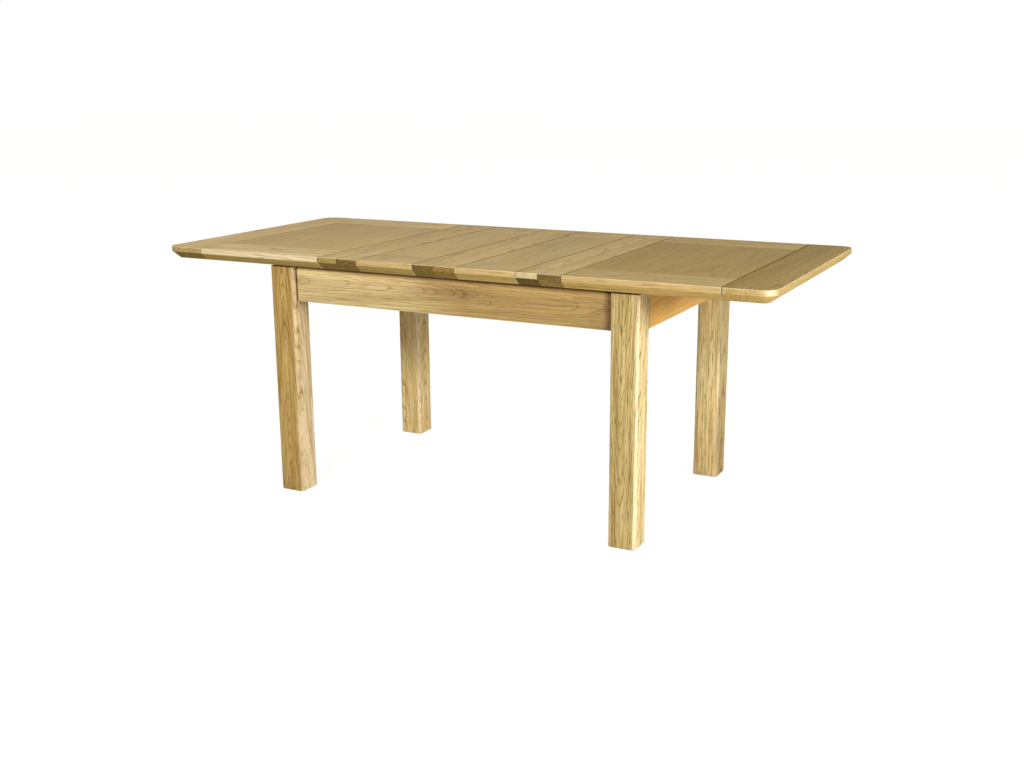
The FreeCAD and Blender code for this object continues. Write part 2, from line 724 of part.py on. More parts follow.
def make_end_board(name, sx, bores):
    """The outer board of a half: rounded outer corners, and a bevel under its three outer edges."""
    body = doc.addObject("PartDesign::Body", f"{name}_board")
    inset = d.bevel_inset
    lower = rounded_end(body, f"{name}_underside", d.end_board_width - inset,
                        d.table_width - inset * 2, d.under_radius)
    bind(lower, "AttachmentOffset.Base.x", inset)
    bind(lower, "AttachmentOffset.Base.y", inset)
    upper = rounded_end(body, f"{name}_outline", d.end_board_width, d.table_width, CORNER_RADIUS)
    bind(upper, "AttachmentOffset.Base.z", BEVEL_HEIGHT)
    bevel = body.newObject("PartDesign::AdditiveLoft", f"{name}_bevel")
    bevel.Profile = lower
    bevel.Sections = [upper]
    bevel.Ruled = True
    edge = pad(body, f"{name}_edge", upper, d.edge_face)
    chamfer(body, f"{name}_vee", edge, d.vee, inner_top)
    turn = Rotation() if sx < 0 else HALF_TURN
    place(body, (HALF_LENGTH * sx, HALF_WIDTH * sx, UNDERSIDE), turn)
    tools = frame_tools(name, sx, END_BOARD_EDGE, 1)
    keep(name, cut(f"{name}_cut", body, *tools, *bores))


def make_stile(name, sx, near, far, outward, extra=()):
    """A board across the whole table, bevelled under both ends; outward tells which face is jointed."""
    inset, wide, thick = d.bevel_inset, d.table_width, d.top_thickness
    corners = [
        (inset, 0), (wide - inset, 0), (wide, BEVEL_HEIGHT), (wide, thick), (0, thick), (0, BEVEL_HEIGHT),
    ]
    body, length = section_body(f"{name}_board", corners, far - near)
    chamfer(body, f"{name}_vees", length, d.vee, across_top)
    place(body, (side(sx, near, far)[0], -HALF_WIDTH, UNDERSIDE))
    face, way = (far, -1) if outward else (near, 1)
    tools = frame_tools(name, sx, face, way)
    keep(name, cut(f"{name}_cut", body, *tools, *extra))


def make_top_rail(name, sx, near, far, sy):
    """A front or back rail: bevelled under its outer edge, grooved for the panel, tenoned at both ends."""
    wide, thick = d.rail_width, d.top_thickness
    groove = wide - d.tongue_length - d.end_clearance
    low, high = (level - UNDERSIDE for level in grow(TONGUE_SPAN, d.fit))
    corners = [
        (d.bevel_inset, 0), (wide, 0), (wide, low), (groove, low), (groove, high), (wide, high),
        (wide, thick - d.vee), (wide - d.vee, thick), (0, thick), (0, BEVEL_HEIGHT),
    ]
    body, length = section_body(f"{name}_board", corners, far - near)
    chamfer(body, f"{name}_vees", length, d.vee, across_top)
    start, end = side(sx, near, far)
    if sy < 0:
        place(body, (start, -HALF_WIDTH, UNDERSIDE))
    else:
        place(body, (end, HALF_WIDTH, UNDERSIDE), HALF_TURN)
    reach = side(sx, near - d.tenon_length, far + d.tenon_length)
    tenons = board(f"{name}_tenons", reach, side(sy, TENON_NEAR, TENON_FAR), TENON_SPAN)
    keep(name, fuse(f"{name}_whole", body, tenons))


def make_panel(name, sx, near, far):
    """A flush panel with a tongue all round it."""
    body = doc.addObject("PartDesign::Body", f"{name}_board")
    long, wide = far - near - d.fit * 2, (INNER_EDGE - d.fit) * 2
    sketch = polygon(body, f"{name}_outline", "XY_Plane", [(0, 0), (long, 0), (long, wide), (0, wide)])
    slab = pad(body, f"{name}_thickness", sketch, d.panel_thickness)
    chamfer(body, f"{name}_vees", slab, d.vee, at_top)
    place(body, (side(sx, near, far)[0] + d.fit, d.fit - INNER_EDGE, PANEL_UNDERSIDE))
    reach = side(sx, near - d.tongue_length, far + d.tongue_length)
    tongue = board(f"{name}_tongue", reach, middle(INNER_EDGE + d.tongue_length), TONGUE_SPAN)
    keep(name, fuse(f"{name}_whole", body, tongue))


def make_field(name, sx, near, far, batten_name):
    """The rails, the panel and the batten that fill a frame between its two cross boards."""
    for face_name, sy in FACES.items():
        make_top_rail(f"{name}_rail_{face_name}", sx, near, far, sy)
    make_panel(f"{name}_panel", sx, near, far)
    centre = (near + far) / 2 * sx
    batten = board(batten_name, about(centre, d.batten_width / 2), middle(INNER_EDGE),
                   (UNDERSIDE, PANEL_UNDERSIDE))
    keep(f"{name}_{batten_name}", batten)


def make_runner(name, sx, sy, bores):
    """A grooved runner under one half; its free end carries the leaf and stands just clear of it."""
    near = RUNNER_NEAR[sx]
    along = side(sx, d.runner_tip, RUNNER_OUTER_END)
    blank = board(f"{name}_bar", along, side(sy, near, near + d.runner_width), (RUNNER_FOOT, UNDERSIDE))
    rail_half = d.slide_rail_width / 2
    reach = d.slide_tongue_length + d.slide_gap
    if sx < 0:
        across = (d.slide_place - rail_half - reach, d.slide_place - rail_half)
    else:
        across = (d.slide_place + rail_half, d.slide_place + rail_half + reach)
    tongue = grow((SLIDE_TONGUE_FOOT, SLIDE_TONGUE_TOP), d.slide_gap)
    groove = board(f"{name}_groove", grow(along, d.fit), side(sy, *across), tongue)
    free = side(sx, d.runner_tip - d.fit, d.leaf_width)
    relief = board(f"{name}_relief", free, side(sy, near - d.fit, near + d.runner_width + d.fit),
                   (UNDERSIDE - d.runner_relief, UNDERSIDE + d.fit))
    keep(name, cut(f"{name}_cut", blank, groove, relief, *bores))


def make_half(side_name, sx):
    """One half of the top with its runners, its link bracket and the screws that hold them."""
    outer_x = (END_BOARD_EDGE + RUNNER_OUTER_END) / 2
    stile_x = BRACKET_PLACE
    screws, bores = [], {}
    for face_name, sy in FACES.items():
        for board_name, x in (("end", outer_x), ("stile", stile_x)):
            name = f"runner_screw_{side_name}_{face_name}_{board_name}"
            screws.append(runner_screw(name, sx, sy, x))
            bores[board_name, face_name] = runner_screw(f"{name}_bore", sx, sy, x, d.screw_hole_gap)
    bracket_bores = []
    for face_name, sy in FACES.items():
        name = f"bracket_screw_{side_name}_{face_name}"
        screws.append(bracket_screw(name, sx, sy))
        bracket_bores.append(bracket_screw(f"{name}_bore", sx, sy, d.screw_hole_gap))
    keep(f"screws_{side_name}", group(f"screw_set_{side_name}", screws))
    end_bores = [bores["end", face_name] for face_name in FACES]
    stile_bores = [bores["stile", face_name] for face_name in FACES]
    make_end_board(f"top_{side_name}_end_board", sx, end_bores)
    make_stile(f"top_{side_name}_stile", sx, d.leaf_width, HALF_STILE_EDGE, True,
               stile_bores + bracket_bores)
    make_field(f"top_{side_name}", sx, HALF_STILE_EDGE, END_BOARD_EDGE, "batten")
    for face_name, sy in FACES.items():
        own_bores = [bores[board_name, face_name] for board_name in ("end", "stile")]
        make_runner(f"runner_{side_name}_{face_name}", sx, sy, own_bores)
    make_bracket(f"link_bracket_{side_name}", sx, bracket_bores)


def make_leaf(side_name, sx):
    """A loose leaf. Its outer edge is set back low down, so that it lifts out between the halves."""
    outer = d.leaf_width - d.leaf_gap
    far = d.leaf_width - d.stile_width
    relief = board(f"leaf_{side_name}_relief", side(sx, outer - d.relief_depth, d.leaf_width),
                   middle(HALF_WIDTH), (UNDERSIDE, UNDERSIDE + d.relief_height))
    make_stile(f"leaf_{side_name}_outer_stile", sx, far, outer, False, [relief])
    make_stile(f"leaf_{side_name}_inner_stile", sx, d.middle_gap / 2, d.stile_width, True)
    make_field(f"leaf_{side_name}", sx, d.stile_width, far, "cleat")


# ---- the whole table ----

def make_leg_frame():
    """The legs, aprons, corner blocks, rails and slides: everything that stands still."""
    for face_name, sy in FACES.items():
        for side_name, sx in SIDES.items():
            make_leg(f"leg_{face_name}_{side_name}", sx, sy)
            make_corner_block(f"corner_block_{face_name}_{side_name}", sx, sy)
        make_long_apron(f"apron_{face_name}", sy)
    for side_name, sx in SIDES.items():
        make_end_apron(f"apron_{side_name}", sx)
    make_hanger_fasteners()
    make_foot_glides()
    screws, bores = [], {}
    for face_name, sy in FACES.items():
        for side_name, sx in SIDES.items():
            name = f"slide_screw_{face_name}_{side_name}"
            screws.append(slide_screw(name, sx, sy))
            bores[face_name, side_name] = slide_screw(f"{name}_bore", sx, sy, d.screw_hole_gap)
    keep("slide_screws", group("slide_screw_set", screws))
    for face_name, sy in FACES.items():
        make_slide_rail(f"slide_rail_{face_name}", sy, [bores[face_name, key] for key in SIDES])
    for side_name in SIDES:
        name = f"cross_rail_{side_name}"
        make_frame_rail(name, *FRAME_RAILS[name], *[bores[key, side_name] for key in FACES])
    stud_bore = rod("pivot_rail_bore", d.pivot_radius + d.pin_gap, d.pivot_grip + d.end_clearance,
                    (0, 0, PIVOT_RAIL_TOP - d.pivot_grip - d.end_clearance))
    make_frame_rail("pivot_rail", *FRAME_RAILS["pivot_rail"], stud_bore)


def make_equaliser():
    """The lever on its pivot, and a link from each end of it to each half."""
    make_pivot()
    make_lever_pins()
    reach = LEVER_REACH
    strap("equaliser_lever", -reach, reach, LEVER_FOOT, (as_size(0), -reach, reach),
          (d.pivot_radius, d.pin_radius, d.pin_radius))
    for side_name, sx in SIDES.items():
        ends = side(sx, reach, BRACKET_PLACE)
        strap(f"link_{side_name}", *ends, LINK_FOOT, ends, (d.pin_radius, d.pin_radius))


def check_model():
    """Stop if any object of the document failed or any sub-part is not a sound solid."""
    for item in doc.Objects:
        if "Invalid" in item.State or "Error" in item.State:
            raise RuntimeError(f"{item.Name} failed: {item.State}")
    for name, item in nodes.items():
        shape = item.Shape
        if shape.isNull() or not shape.isValid() or not shape.Solids:
            raise RuntimeError(f"{name} is not a sound solid")


make_leg_frame()
make_equaliser()
for side_word, side_sign in SIDES.items():
    make_half(side_word, side_sign)
    make_leaf(side_word, side_sign)
doc.recompute()
check_model()
os.makedirs("parts", exist_ok=True)
for node_name, node in nodes.items():
    node.Shape.exportStep(f"parts/{node_name}.step")
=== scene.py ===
# %% [markdown]
# # An extending dining table in oak
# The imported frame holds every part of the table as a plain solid: legs, aprons, the two framed
# halves of the top, the two loose leaves, the runners and the steel equaliser under them. This file
# gives the parts that are seen their eased edges and their wood, and leaves the hidden ones as they
# are with better finishes. Nothing here changes a size.

# %% Load the frame and keep its box
import math

import bpy
import numpy as np
from mathutils import Matrix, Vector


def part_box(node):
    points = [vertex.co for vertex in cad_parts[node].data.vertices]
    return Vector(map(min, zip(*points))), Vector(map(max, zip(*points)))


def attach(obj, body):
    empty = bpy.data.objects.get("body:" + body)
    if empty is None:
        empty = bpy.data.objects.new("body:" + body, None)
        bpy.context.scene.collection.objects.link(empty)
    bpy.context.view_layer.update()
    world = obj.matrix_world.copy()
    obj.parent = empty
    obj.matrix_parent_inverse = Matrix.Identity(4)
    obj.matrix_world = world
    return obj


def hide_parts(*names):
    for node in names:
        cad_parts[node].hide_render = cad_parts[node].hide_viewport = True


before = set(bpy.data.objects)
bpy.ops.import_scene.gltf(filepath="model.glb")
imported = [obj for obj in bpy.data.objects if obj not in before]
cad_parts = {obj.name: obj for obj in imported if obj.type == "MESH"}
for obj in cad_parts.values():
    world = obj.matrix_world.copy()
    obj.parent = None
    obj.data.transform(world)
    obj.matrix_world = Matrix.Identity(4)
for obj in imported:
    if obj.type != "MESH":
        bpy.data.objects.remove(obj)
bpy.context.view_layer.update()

# %% [markdown]
# ## Measurements taken from the frame
# A joiner marks a new board from the one beside it, not from a ruler. In the same way each board
# below is cut between its neighbours' faces, which are read from the frame. The tenons and tongues
# of the solids are left out, because nobody sees them in a closed joint.


# %% Read the neighbours' faces
def faces_of(node):
    """A part's lowest and highest corner as one 2 x 3 array, in metres."""
    return np.array([tuple(corner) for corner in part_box(node)])


SIDES = {"left": -1, "right": 1}
FACES = {"front": -1, "back": 1}
half_end = faces_of("top_right_end_board")
half_stile = faces_of("top_right_stile")
half_rail = faces_of("top_right_rail_back")
leaf_outer = faces_of("leaf_right_outer_stile")
leaf_inner = faces_of("leaf_right_inner_stile")
leg_box = faces_of("leg_back_right")
UNDERSIDE, TOP = half_end[:, 2]
PANEL_UNDER = faces_of("top_right_panel")[0, 2]
RAIL_INNER, EDGE = half_rail[:, 1]
THICKNESS = TOP - UNDERSIDE
print(f"top {1000 * THICKNESS:.0f} mm thick, rails {1000 * (EDGE - RAIL_INNER):.0f} mm wide")

# %% [markdown]
# ## The edges of a board
# An oak top is never sharp. Its outer edge has an upright face over a wide bevel, cut on the
# underside so that a thick board looks light, and the line between two boards is a small vee, which
# hides the step where one board moves with the weather and its neighbour doesn't. A bevel modifier
# could round every edge of a box, but not give each side its own shape. So each side here has a
# profile: how far the side has moved in at each height.


# %% Profiles of the sides
def eased(corners, reach, steps=5):
    """A bent line whose inner corners are rounded off.

    Each inner corner P becomes the curve (1-s)^2 A + 2 s (1-s) P + s^2 C, where A and C lie on the
    two straight runs, `reach` metres away from P, and s goes from 0 to 1."""
    line = np.asarray(corners, float)
    back, ahead = line[:-2] - line[1:-1], line[2:] - line[1:-1]
    reach = np.broadcast_to(reach, len(back))[:, None]
    start = line[1:-1] + reach * back / np.linalg.norm(back, axis=1, keepdims=True)
    stop = line[1:-1] + reach * ahead / np.linalg.norm(ahead, axis=1, keepdims=True)
    s = np.linspace(0, 1, steps)[:, None, None]
    curve = (1 - s) ** 2 * start + 2 * s * (1 - s) * line[1:-1] + s**2 * stop
    return curve.transpose(1, 0, 2).reshape(-1, 2)


BEVEL_HIGH, BEVEL_IN = 0.022, 0.025
VEE = 0.0015


def profile(high, corners, reach, steps=5):
    """Rows of (height, inset) from a board's underside, over the given corners, to its face.

    The first and the last point of the bent line lie well inside the board. They only say which
    way the two flat faces run, and drop out when the corners are rounded."""
    well_in = 0.05
    return eased([(0, well_in), *corners, (high, well_in)], reach, steps)


def top_profiles(thickness):
    """The profile of each kind of side of a board of the top, with every corner's reach in metres."""
    t = thickness
    return {
        "outer": profile(t, [(0, BEVEL_IN), (BEVEL_HIGH, 0), (t, 0)], [0.0008, 0.002, 0.0014]),
        "joint": profile(t, [(0, 0), (t - VEE, 0), (t, VEE)], [0.0003, 0.0003, 0.0004]),
        "parting": profile(t, [(0, 0), (t - VEE / 2, 0), (t, VEE / 2)], [0.0003, 0.0003, 0.0003]),
        "tight": profile(t, [(0, 0), (t, 0)], [0.0003, 0.0005]),
    }


TOP_EDGES = top_profiles(THICKNESS)
print("points in each profile:", {kind: len(rows) for kind, rows in TOP_EDGES.items()})

# %% [markdown]
# ## One board as one closed skin
# Every board of this table is a flat outline carried through its thickness: the boards of the top
# upwards, the aprons outwards, the legs from foot to head. Two crossed loops over a grid of height
# and distance round the outline give the skin, and the two flat ends close it. It is worked out as
# whole arrays, so a board costs a millisecond however fine its rounding is.


# %% The skin of a board
LEAST_ROUND = 0.0004


def oblong(x0, x1, y0, y1):
    """The corners of a rectangle, anticlockwise, so that its sides are front, right, back, left."""
    return [(x0, y0), (x1, y0), (x1, y1), (x0, y1)]


def skin(outline, sides, profiles, thickness, radii=0.0, arc_steps=7):
    """Points, faces and face labels of a board in its own plan, with height third.

    At height t side k has moved in by I_k(t), read from its profile. Corner k lies where sides k-1
    and k cross: p_k + N^-1 (I_k-1, I_k), where N holds their two inward normals. A round corner
    swaps that point for the quarter circle c - R (n_k-1 cos a + n_k sin a), whose centre is
    c = corner + R (n_k-1 + n_k). Its radius R is the plan radius less the smaller inset, but never
    less than LEAST_ROUND."""
    plan = np.asarray(outline, float)
    count = len(plan)
    heights = np.concatenate([profiles[kind][:, 0] for kind in sides]).clip(0, thickness)
    heights = np.unique(heights.round(7))
    inset = np.stack([np.interp(heights, *profiles[kind].T) for kind in sides], axis=1)
    run = np.roll(plan, -1, axis=0) - plan
    inward = np.stack([-run[:, 1], run[:, 0]], axis=1) / np.linalg.norm(run, axis=1, keepdims=True)
    before = np.roll(inward, 1, axis=0)
    both = np.stack([np.roll(inset, 1, axis=1), inset], axis=2)
    corner = plan + np.einsum("kij,lkj->lki", np.linalg.inv(np.stack([before, inward], axis=1)), both)
    radii = np.broadcast_to(radii, count)
    radius = np.where(radii > 0, np.maximum(radii - both.min(axis=2), LEAST_ROUND), 0.0)
    centre = corner + radius[..., None] * (before + inward)
    angle = np.linspace(0, math.pi / 2, arc_steps)[:, None]
    spoke = before[:, None] * np.cos(angle) + inward[:, None] * np.sin(angle)
    ring = centre[:, :, None] - radius[:, :, None, None] * spoke
    kept = ((radii > 0)[:, None] | (np.arange(arc_steps) == 0)).ravel()
    ring = ring.reshape(len(heights), -1, 2)[:, kept]
    owner = np.repeat(np.arange(count), arc_steps)[kept]
    levels, around = ring.shape[:2]
    points = np.concatenate([ring, np.broadcast_to(heights[:, None, None], (levels, around, 1))], axis=2)
    here = np.arange((levels - 1) * around).reshape(levels - 1, around)
    beside = np.roll(here, -1, axis=1)
    quads = np.stack([here, beside, beside + around, here + around], axis=2).reshape(-1, 4)
    label = {
        "side": np.tile(owner, levels - 1),
        "corner": np.tile(owner == np.roll(owner, -1), levels - 1),
        "height": np.repeat((heights[1:] + heights[:-1]) / 2, around),
    }
    caps = [np.arange(around)[::-1], np.arange(around) + (levels - 1) * around]
    return points.reshape(-1, 3), quads, caps, label


demo = skin(oblong(0, 0.1, 0, 0.4), ["outer"] * 4, TOP_EDGES, THICKNESS, 0.028)
print("a trial board has", len(demo[0]), "points and", len(demo[1]), "strips")

# %% [markdown]
# ## Cutting boards from a tree
# Grain is where a tree's rings cross the face of a board. So each board carries where it lay in its
# tree: along the trunk, and how far from the heart across and through the board. A heart just under
# the face gives tall arches, and one far to the side gives straight lines. The wood's pattern is
# computed from those coordinates, so it turns properly over every edge, onto the end grain, and no
# two boards are alike. Unwrapped coordinates would break at each edge.


# %% What is known of a board
AXIS = {"x": np.array([1.0, 0, 0]), "y": np.array([0, 1.0, 0]), "z": np.array([0, 0, 1.0])}
FAR = 9.0
boards = {}


def look(heart, growth=(0.007, 0.05, 0.02), flip=False, ends=(1.0, 1.0), eye=(FAR, FAR, 1, 1),
         turn=(0, FAR), lee=None):
    """How one board was cut and how its tree grew, with lengths in metres.

    heart: how far off the tree's middle lay, across the board and through it. growth: width of a
    year, taper of the trunk, strength of its swirls. flip: the arches point the other way. ends:
    how much of the end grain shows on the upright edge and on the bevel. eye: place along and
    across, length and height of a swelling that the rings go round. turn: where along an apron
    its tone turns from the first to the second, and over what length. lee: how far the painted
    shadow reaches along an apron from the leg at its low end and from the leg at its high end. FAR
    is further than any board reaches, so an eye that far away doesn't show."""
    return dict(heart=heart, growth=growth, flip=flip, ends=ends, eye=eye, turn=turn, lee=lee)


print("what a look holds:", sorted(look((0, 0))))


# %% Each point's place in its tree
NEXT_LOG = 2.37


def stored(mesh, name, domain, values):
    """Keeps one row of three numbers for each point of the mesh, or for each corner of its faces."""
    store = mesh.attributes.new(name, "FLOAT_VECTOR", domain)
    store.data.foreach_set("vector", np.ascontiguousarray(values, np.float32).ravel())


def keep_place(mesh, world, grain_ways, cut):
    """Writes down in the mesh where each of its points, the rows of `world`, lay in the tree.

    tree: the place from the board's middle along the three `grain_ways`, less the heart's own
    place, and slid along the trunk by a length that differs for every board. growth: as the look
    has it. eye: the place from the eye's middle, in its lengths and heights, and how far the tone
    has turned. room: metres below the apron's upper edge, and the way from either leg in lengths
    of its lee."""
    low, high = world.min(axis=0), world.max(axis=0)
    tree = (world - (low + high) / 2) @ np.array([AXIS[name] for name in grain_ways]).T
    eye_along, eye_across, eye_long, eye_high = cut["eye"]
    turn_at, turn_long = cut["turn"]
    from_eye = [(tree[:, 0] - eye_along) / eye_long, (tree[:, 1] - eye_across) / eye_high]
    turned = 0.5 + (tree[:, 0] - turn_at) / turn_long
    room = np.full((len(world), 3), FAR)
    if cut["lee"]:
        half = (high - low) @ AXIS[grain_ways[0]] / 2
        from_legs = [(half + tree[:, 0]) / cut["lee"][0], (half - tree[:, 0]) / cut["lee"][1]]
        room = np.stack([high[2] - world[:, 2], *from_legs], axis=1)
    tree = tree * (-1 if cut["flip"] else 1, 1, 1) - (0, *cut["heart"])
    stored(mesh, "eye", "POINT", np.stack([*from_eye, turned], axis=1))
    stored(mesh, "room", "POINT", room)
    stored(mesh, "growth", "POINT", np.tile(cut["growth"], (len(world), 1)))
    stored(mesh, "tree", "POINT", tree + ((len(boards) + 1) * NEXT_LOG, 0, 0))


print("from one board to the next along the trunk:", NEXT_LOG, "m")


# %% Wear, painted highlights and tone of a leg, an apron and a board of the top
def ramp(values, low, high):
    """0 below `low`, 1 above `high`, and a straight line between them."""
    return ((values - low) / (high - low)).clip(0, 1)


def leg_wear(normal, tones):
    """How worn each corner of a leg's faces is, and its tone, twice.

    A rounded edge is worn by 2 max(x y, z max(x, y)), with x, y and z the sizes of the normal's
    three parts. The tone turns from the front's to the side's as x goes from 0.45 to 0.80; the two
    differ partly by painted light and shade. On the edges that look right it turns, by the square of
    the wear, to the worn corner's tone, which is a painted highlight."""
    x, y, z = np.abs(normal).T
    front, side, corner = tones
    worn = 2 * np.maximum(x * y, z * np.maximum(x, y))
    turned = ramp(x, 0.45, 0.80)[:, None]
    # The corner's tone is a painted highlight, laid only on the edges that look right.
    lit = (worn**2 * (normal[:, 0] > 0))[:, None]
    tone = front + turned * (side - front) + lit * (corner - (front + side) / 2)
    return worn, tone, tone


def apron_wear(normal, tones):
    """How worn each corner of an apron's faces is, 2 z max(x, y), and the tones of its two ends."""
    x, y, z = np.abs(normal).T
    near, far = (np.broadcast_to(tone, normal.shape) for tone in tones)
    return 2 * z * np.maximum(x, y), near, far


def top_wear(normal, tones, upright, on_edge, is_rail):
    """How worn each corner of a top board's faces is, with painted highlights, and its tone, twice.

    Worn is the upper arris. A rail's arris that looks right across a joint, and the round corner of
    the top that looks right and forward, get a painted highlight in the same number. The tone is the
    face's where z is over 0.9, and else the upright edge's or the bevel's; these differ partly by
    painted light and shade."""
    x, y, z = np.abs(normal).T
    rightward, forward, upward = (normal * (1, -1, 1)).clip(0, 1).T
    face, edge, bevel = tones
    # The upper arris is worn; a rail's arris that looks right across a joint gets a painted highlight.
    rubbed = 2 * np.maximum(upward * np.hypot(x, y), on_edge * is_rail * rightward * y)
    # A painted highlight down the upright part of the round corner that looks right and forward.
    corner = (2 * rightward * forward) ** 3 * upright * (on_edge == 0)
    tone = np.where((z > 0.9)[:, None], face, np.where(upright[:, None], edge, bevel))
    return np.maximum(rubbed, corner), tone, tone


trial = np.array([[0.6, -0.8, 0.0]])
print("wear of a leg's edge:", leg_wear(trial, np.ones((3, 3)))[0].round(2))

# %% Keep the wear, with its painted highlights, in the mesh
# How dark a vee between two boards is on the face, and how dark it is at the edge of the top.
GROOVES = {"joint": (1.0, 1.0), "parting": (0.45, 0.7)}


def keep_wear(mesh, body, label, sides, grain_ways, cut, tones, vee_from):
    """Writes down in the mesh the finish and the two tones of each corner of each face.

    finish: how much there is of a dark vee, of end grain and of wear, and on a board of the top the
    wear also holds painted highlights. The tones of a top board's faces and of a leg's faces hold
    painted light and shade as well. At the edge of the top a vee is dark only on its own flanks,
    where x is over 0.6 to 0.8. A leg has no kinds of sides, an apron is on the body named frame, and
    every other board is one of the top."""
    corners_of = np.zeros(len(mesh.polygons), int)
    mesh.polygons.foreach_get("loop_total", corners_of)
    normal = np.zeros(3 * len(mesh.loops))
    mesh.corner_normals.foreach_get("vector", normal)
    normal = normal.reshape(-1, 3)
    dark = np.array([GROOVES.get(kind, (0, 0)) for kind in sides] or [(0, 0)] * 4)
    on_face = dark[label["side"], 0] * ~label["corner"] * (label["height"] > vee_from)
    on_edge = np.maximum(dark, np.roll(dark, 1, axis=0))[label["side"], 1] * label["corner"]
    on_face, on_edge = (np.repeat(np.append(strips, [0, 0]), corners_of) for strips in (on_face, on_edge))
    height = np.repeat(np.append(label["height"], [0, 1]), corners_of)
    vee = on_face + on_edge * ramp(np.abs(normal[:, 0]), 0.6, 0.8)
    end = np.abs(normal @ AXIS[grain_ways[0]])
    tones = np.array([TIMBER[name] for name in tones.split()])
    if not sides:
        worn, near, far = leg_wear(normal, tones)
    elif body == "frame":
        worn, near, far = apron_wear(normal, tones)
    else:
        upright = height > BEVEL_HIGH
        end = end * np.where(upright, *cut["ends"])
        worn, near, far = top_wear(normal, tones, upright, on_edge, grain_ways[0] == "x")
    stored(mesh, "finish", "CORNER", np.stack([vee, end, worn * (1 - vee)], axis=1))
    stored(mesh, "tone", "CORNER", near)
    stored(mesh, "far_tone", "CORNER", far)


print("kinds of vee:", sorted(GROOVES))

# %% One board
CREASE = 16


def board(node, body, built, origin, ways, grain_ways, cut, tones, sides=(), vee_from=1.0):
    """Turns a skin into the piece that stands for one solid of the frame.

    A point (p, q, t) of the skin lies at origin + p P + q Q + t T, with P, Q and T the three `ways`.
    The tones are those of the face, the upright edge and the bevel on a board of the top; those of
    the two ends on an apron; and those of the front, the side and the worn corner on a leg. The
    kinds of the sides say which of them carry a vee, and it begins at the height `vee_from`."""
    points, quads, caps, label = built
    ways = np.array([sign * AXIS[name] for sign, name in ways])
    world = np.asarray(origin, float) + points @ ways
    if np.linalg.det(ways) < 0:
        quads, caps = quads[:, ::-1], [cap[::-1] for cap in caps]
    mesh = bpy.data.meshes.new(node + "_oak")
    mesh.from_pydata(world.tolist(), [], quads.tolist() + [cap.tolist() for cap in caps])
    keep_place(mesh, world, grain_ways, cut)
    mesh.shade_smooth()
    mesh.set_sharp_from_angle(angle=math.radians(CREASE))
    keep_wear(mesh, body, label, sides, grain_ways, cut, tones, vee_from)
    piece = bpy.data.objects.new(node + "_oak", mesh)
    bpy.context.scene.collection.objects.link(piece)
    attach(piece, body)
    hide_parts(node)
    boards[node] = piece


print("edges that turn by more than", CREASE, "degrees stay crisp")

# %% [markdown]
# ## The boards of the top
# Each half of the top is a frame: a wide board across the end, a narrower one across the middle of
# the table, and two rails between them, round a panel. A leaf is the same with two narrow boards.
# The cross boards run out to the long edges, so their end grain shows there, dark and open beside
# the long grain of the rails. The panel's veneer runs across the table too. The panel is thinner
# than its frame, and a strip of beech across its underside keeps it flat, so each panel here ends
# where that strip begins.

# %% Timber of different tones
# Each tone multiplies the oak's own red, green and blue.
TIMBER = {
    "cream": (1.30, 1.60, 2.80),
    "pale": (1.40, 1.65, 2.35),
    "light": (1.28, 1.40, 1.90),
    "straw": (1.10, 1.35, 2.10),
    "honey": (1.12, 1.20, 1.50),
    "even": (1.00, 1.09, 1.33),
    "butter": (1.32, 1.38, 1.34),
    "warm": (1.15, 1.20, 1.20),
    "plain": (0.95, 1.00, 0.97),
    "dull": (0.88, 0.95, 1.05),
    "grey": (0.72, 0.80, 1.00),
    "shade": (0.80, 0.85, 0.84),
    "moss": (0.62, 0.67, 0.67),
    "bog": (0.45, 0.50, 0.50),
    "olive": (0.73, 0.73, 0.60),
    "brown": (0.59, 0.58, 0.40),
    "amber": (0.70, 0.63, 0.43),
    "russet": (0.60, 0.53, 0.34),
    "orange": (1.50, 1.22, 0.60),
}

# On a board of the top the three tones are those of its face, its upright edge and its bevel, and
# where they differ, the difference is partly painted light and shade. On a leg they are those of its
# front, its side and its worn corner: front and side differ partly by painted light and shade, and the
# corner's tone is a painted highlight. On an apron they are those of its ends.
TONES = {
    "top_left_end_board": "light even moss",
    "top_left_rail_front": "pale cream shade",
    "top_left_rail_back": "light even shade",
    "top_left_panel": "honey honey honey",
    "top_left_stile": "honey dull moss",
    "leaf_left_outer_stile": "honey grey moss",
    "leaf_left_rail_front": "honey even shade",
    "leaf_left_rail_back": "even even shade",
    "leaf_left_panel": "honey honey honey",
    "leaf_left_inner_stile": "even grey moss",
    "leaf_right_inner_stile": "honey light shade",
    "leaf_right_rail_front": "even even plain",
    "leaf_right_rail_back": "even even plain",
    "leaf_right_panel": "even even even",
    "leaf_right_outer_stile": "even straw bog",
    "top_right_stile": "even grey dull",
    "top_right_rail_front": "dull even warm",
    "top_right_rail_back": "dull even warm",
    "top_right_panel": "olive olive olive",
    "top_right_end_board": "brown even warm",
    "leg_front_left": "amber honey olive",
    "leg_front_right": "olive warm honey",
    "leg_back_left": "warm warm light",
    "leg_back_right": "butter olive dull",
    "apron_front": "plain russet",
    "apron_back": "plain olive",
    "apron_left": "orange orange",
    "apron_right": "orange orange",
}
print("tones of timber:", len(TIMBER), "for", len(TONES), "boards")

# %% Lay out one board of the top
CORNER_RADIUS, ARRIS = 0.045, 0.0032
PLAN_AND_UP = [(1, "x"), (1, "y"), (1, "z")]


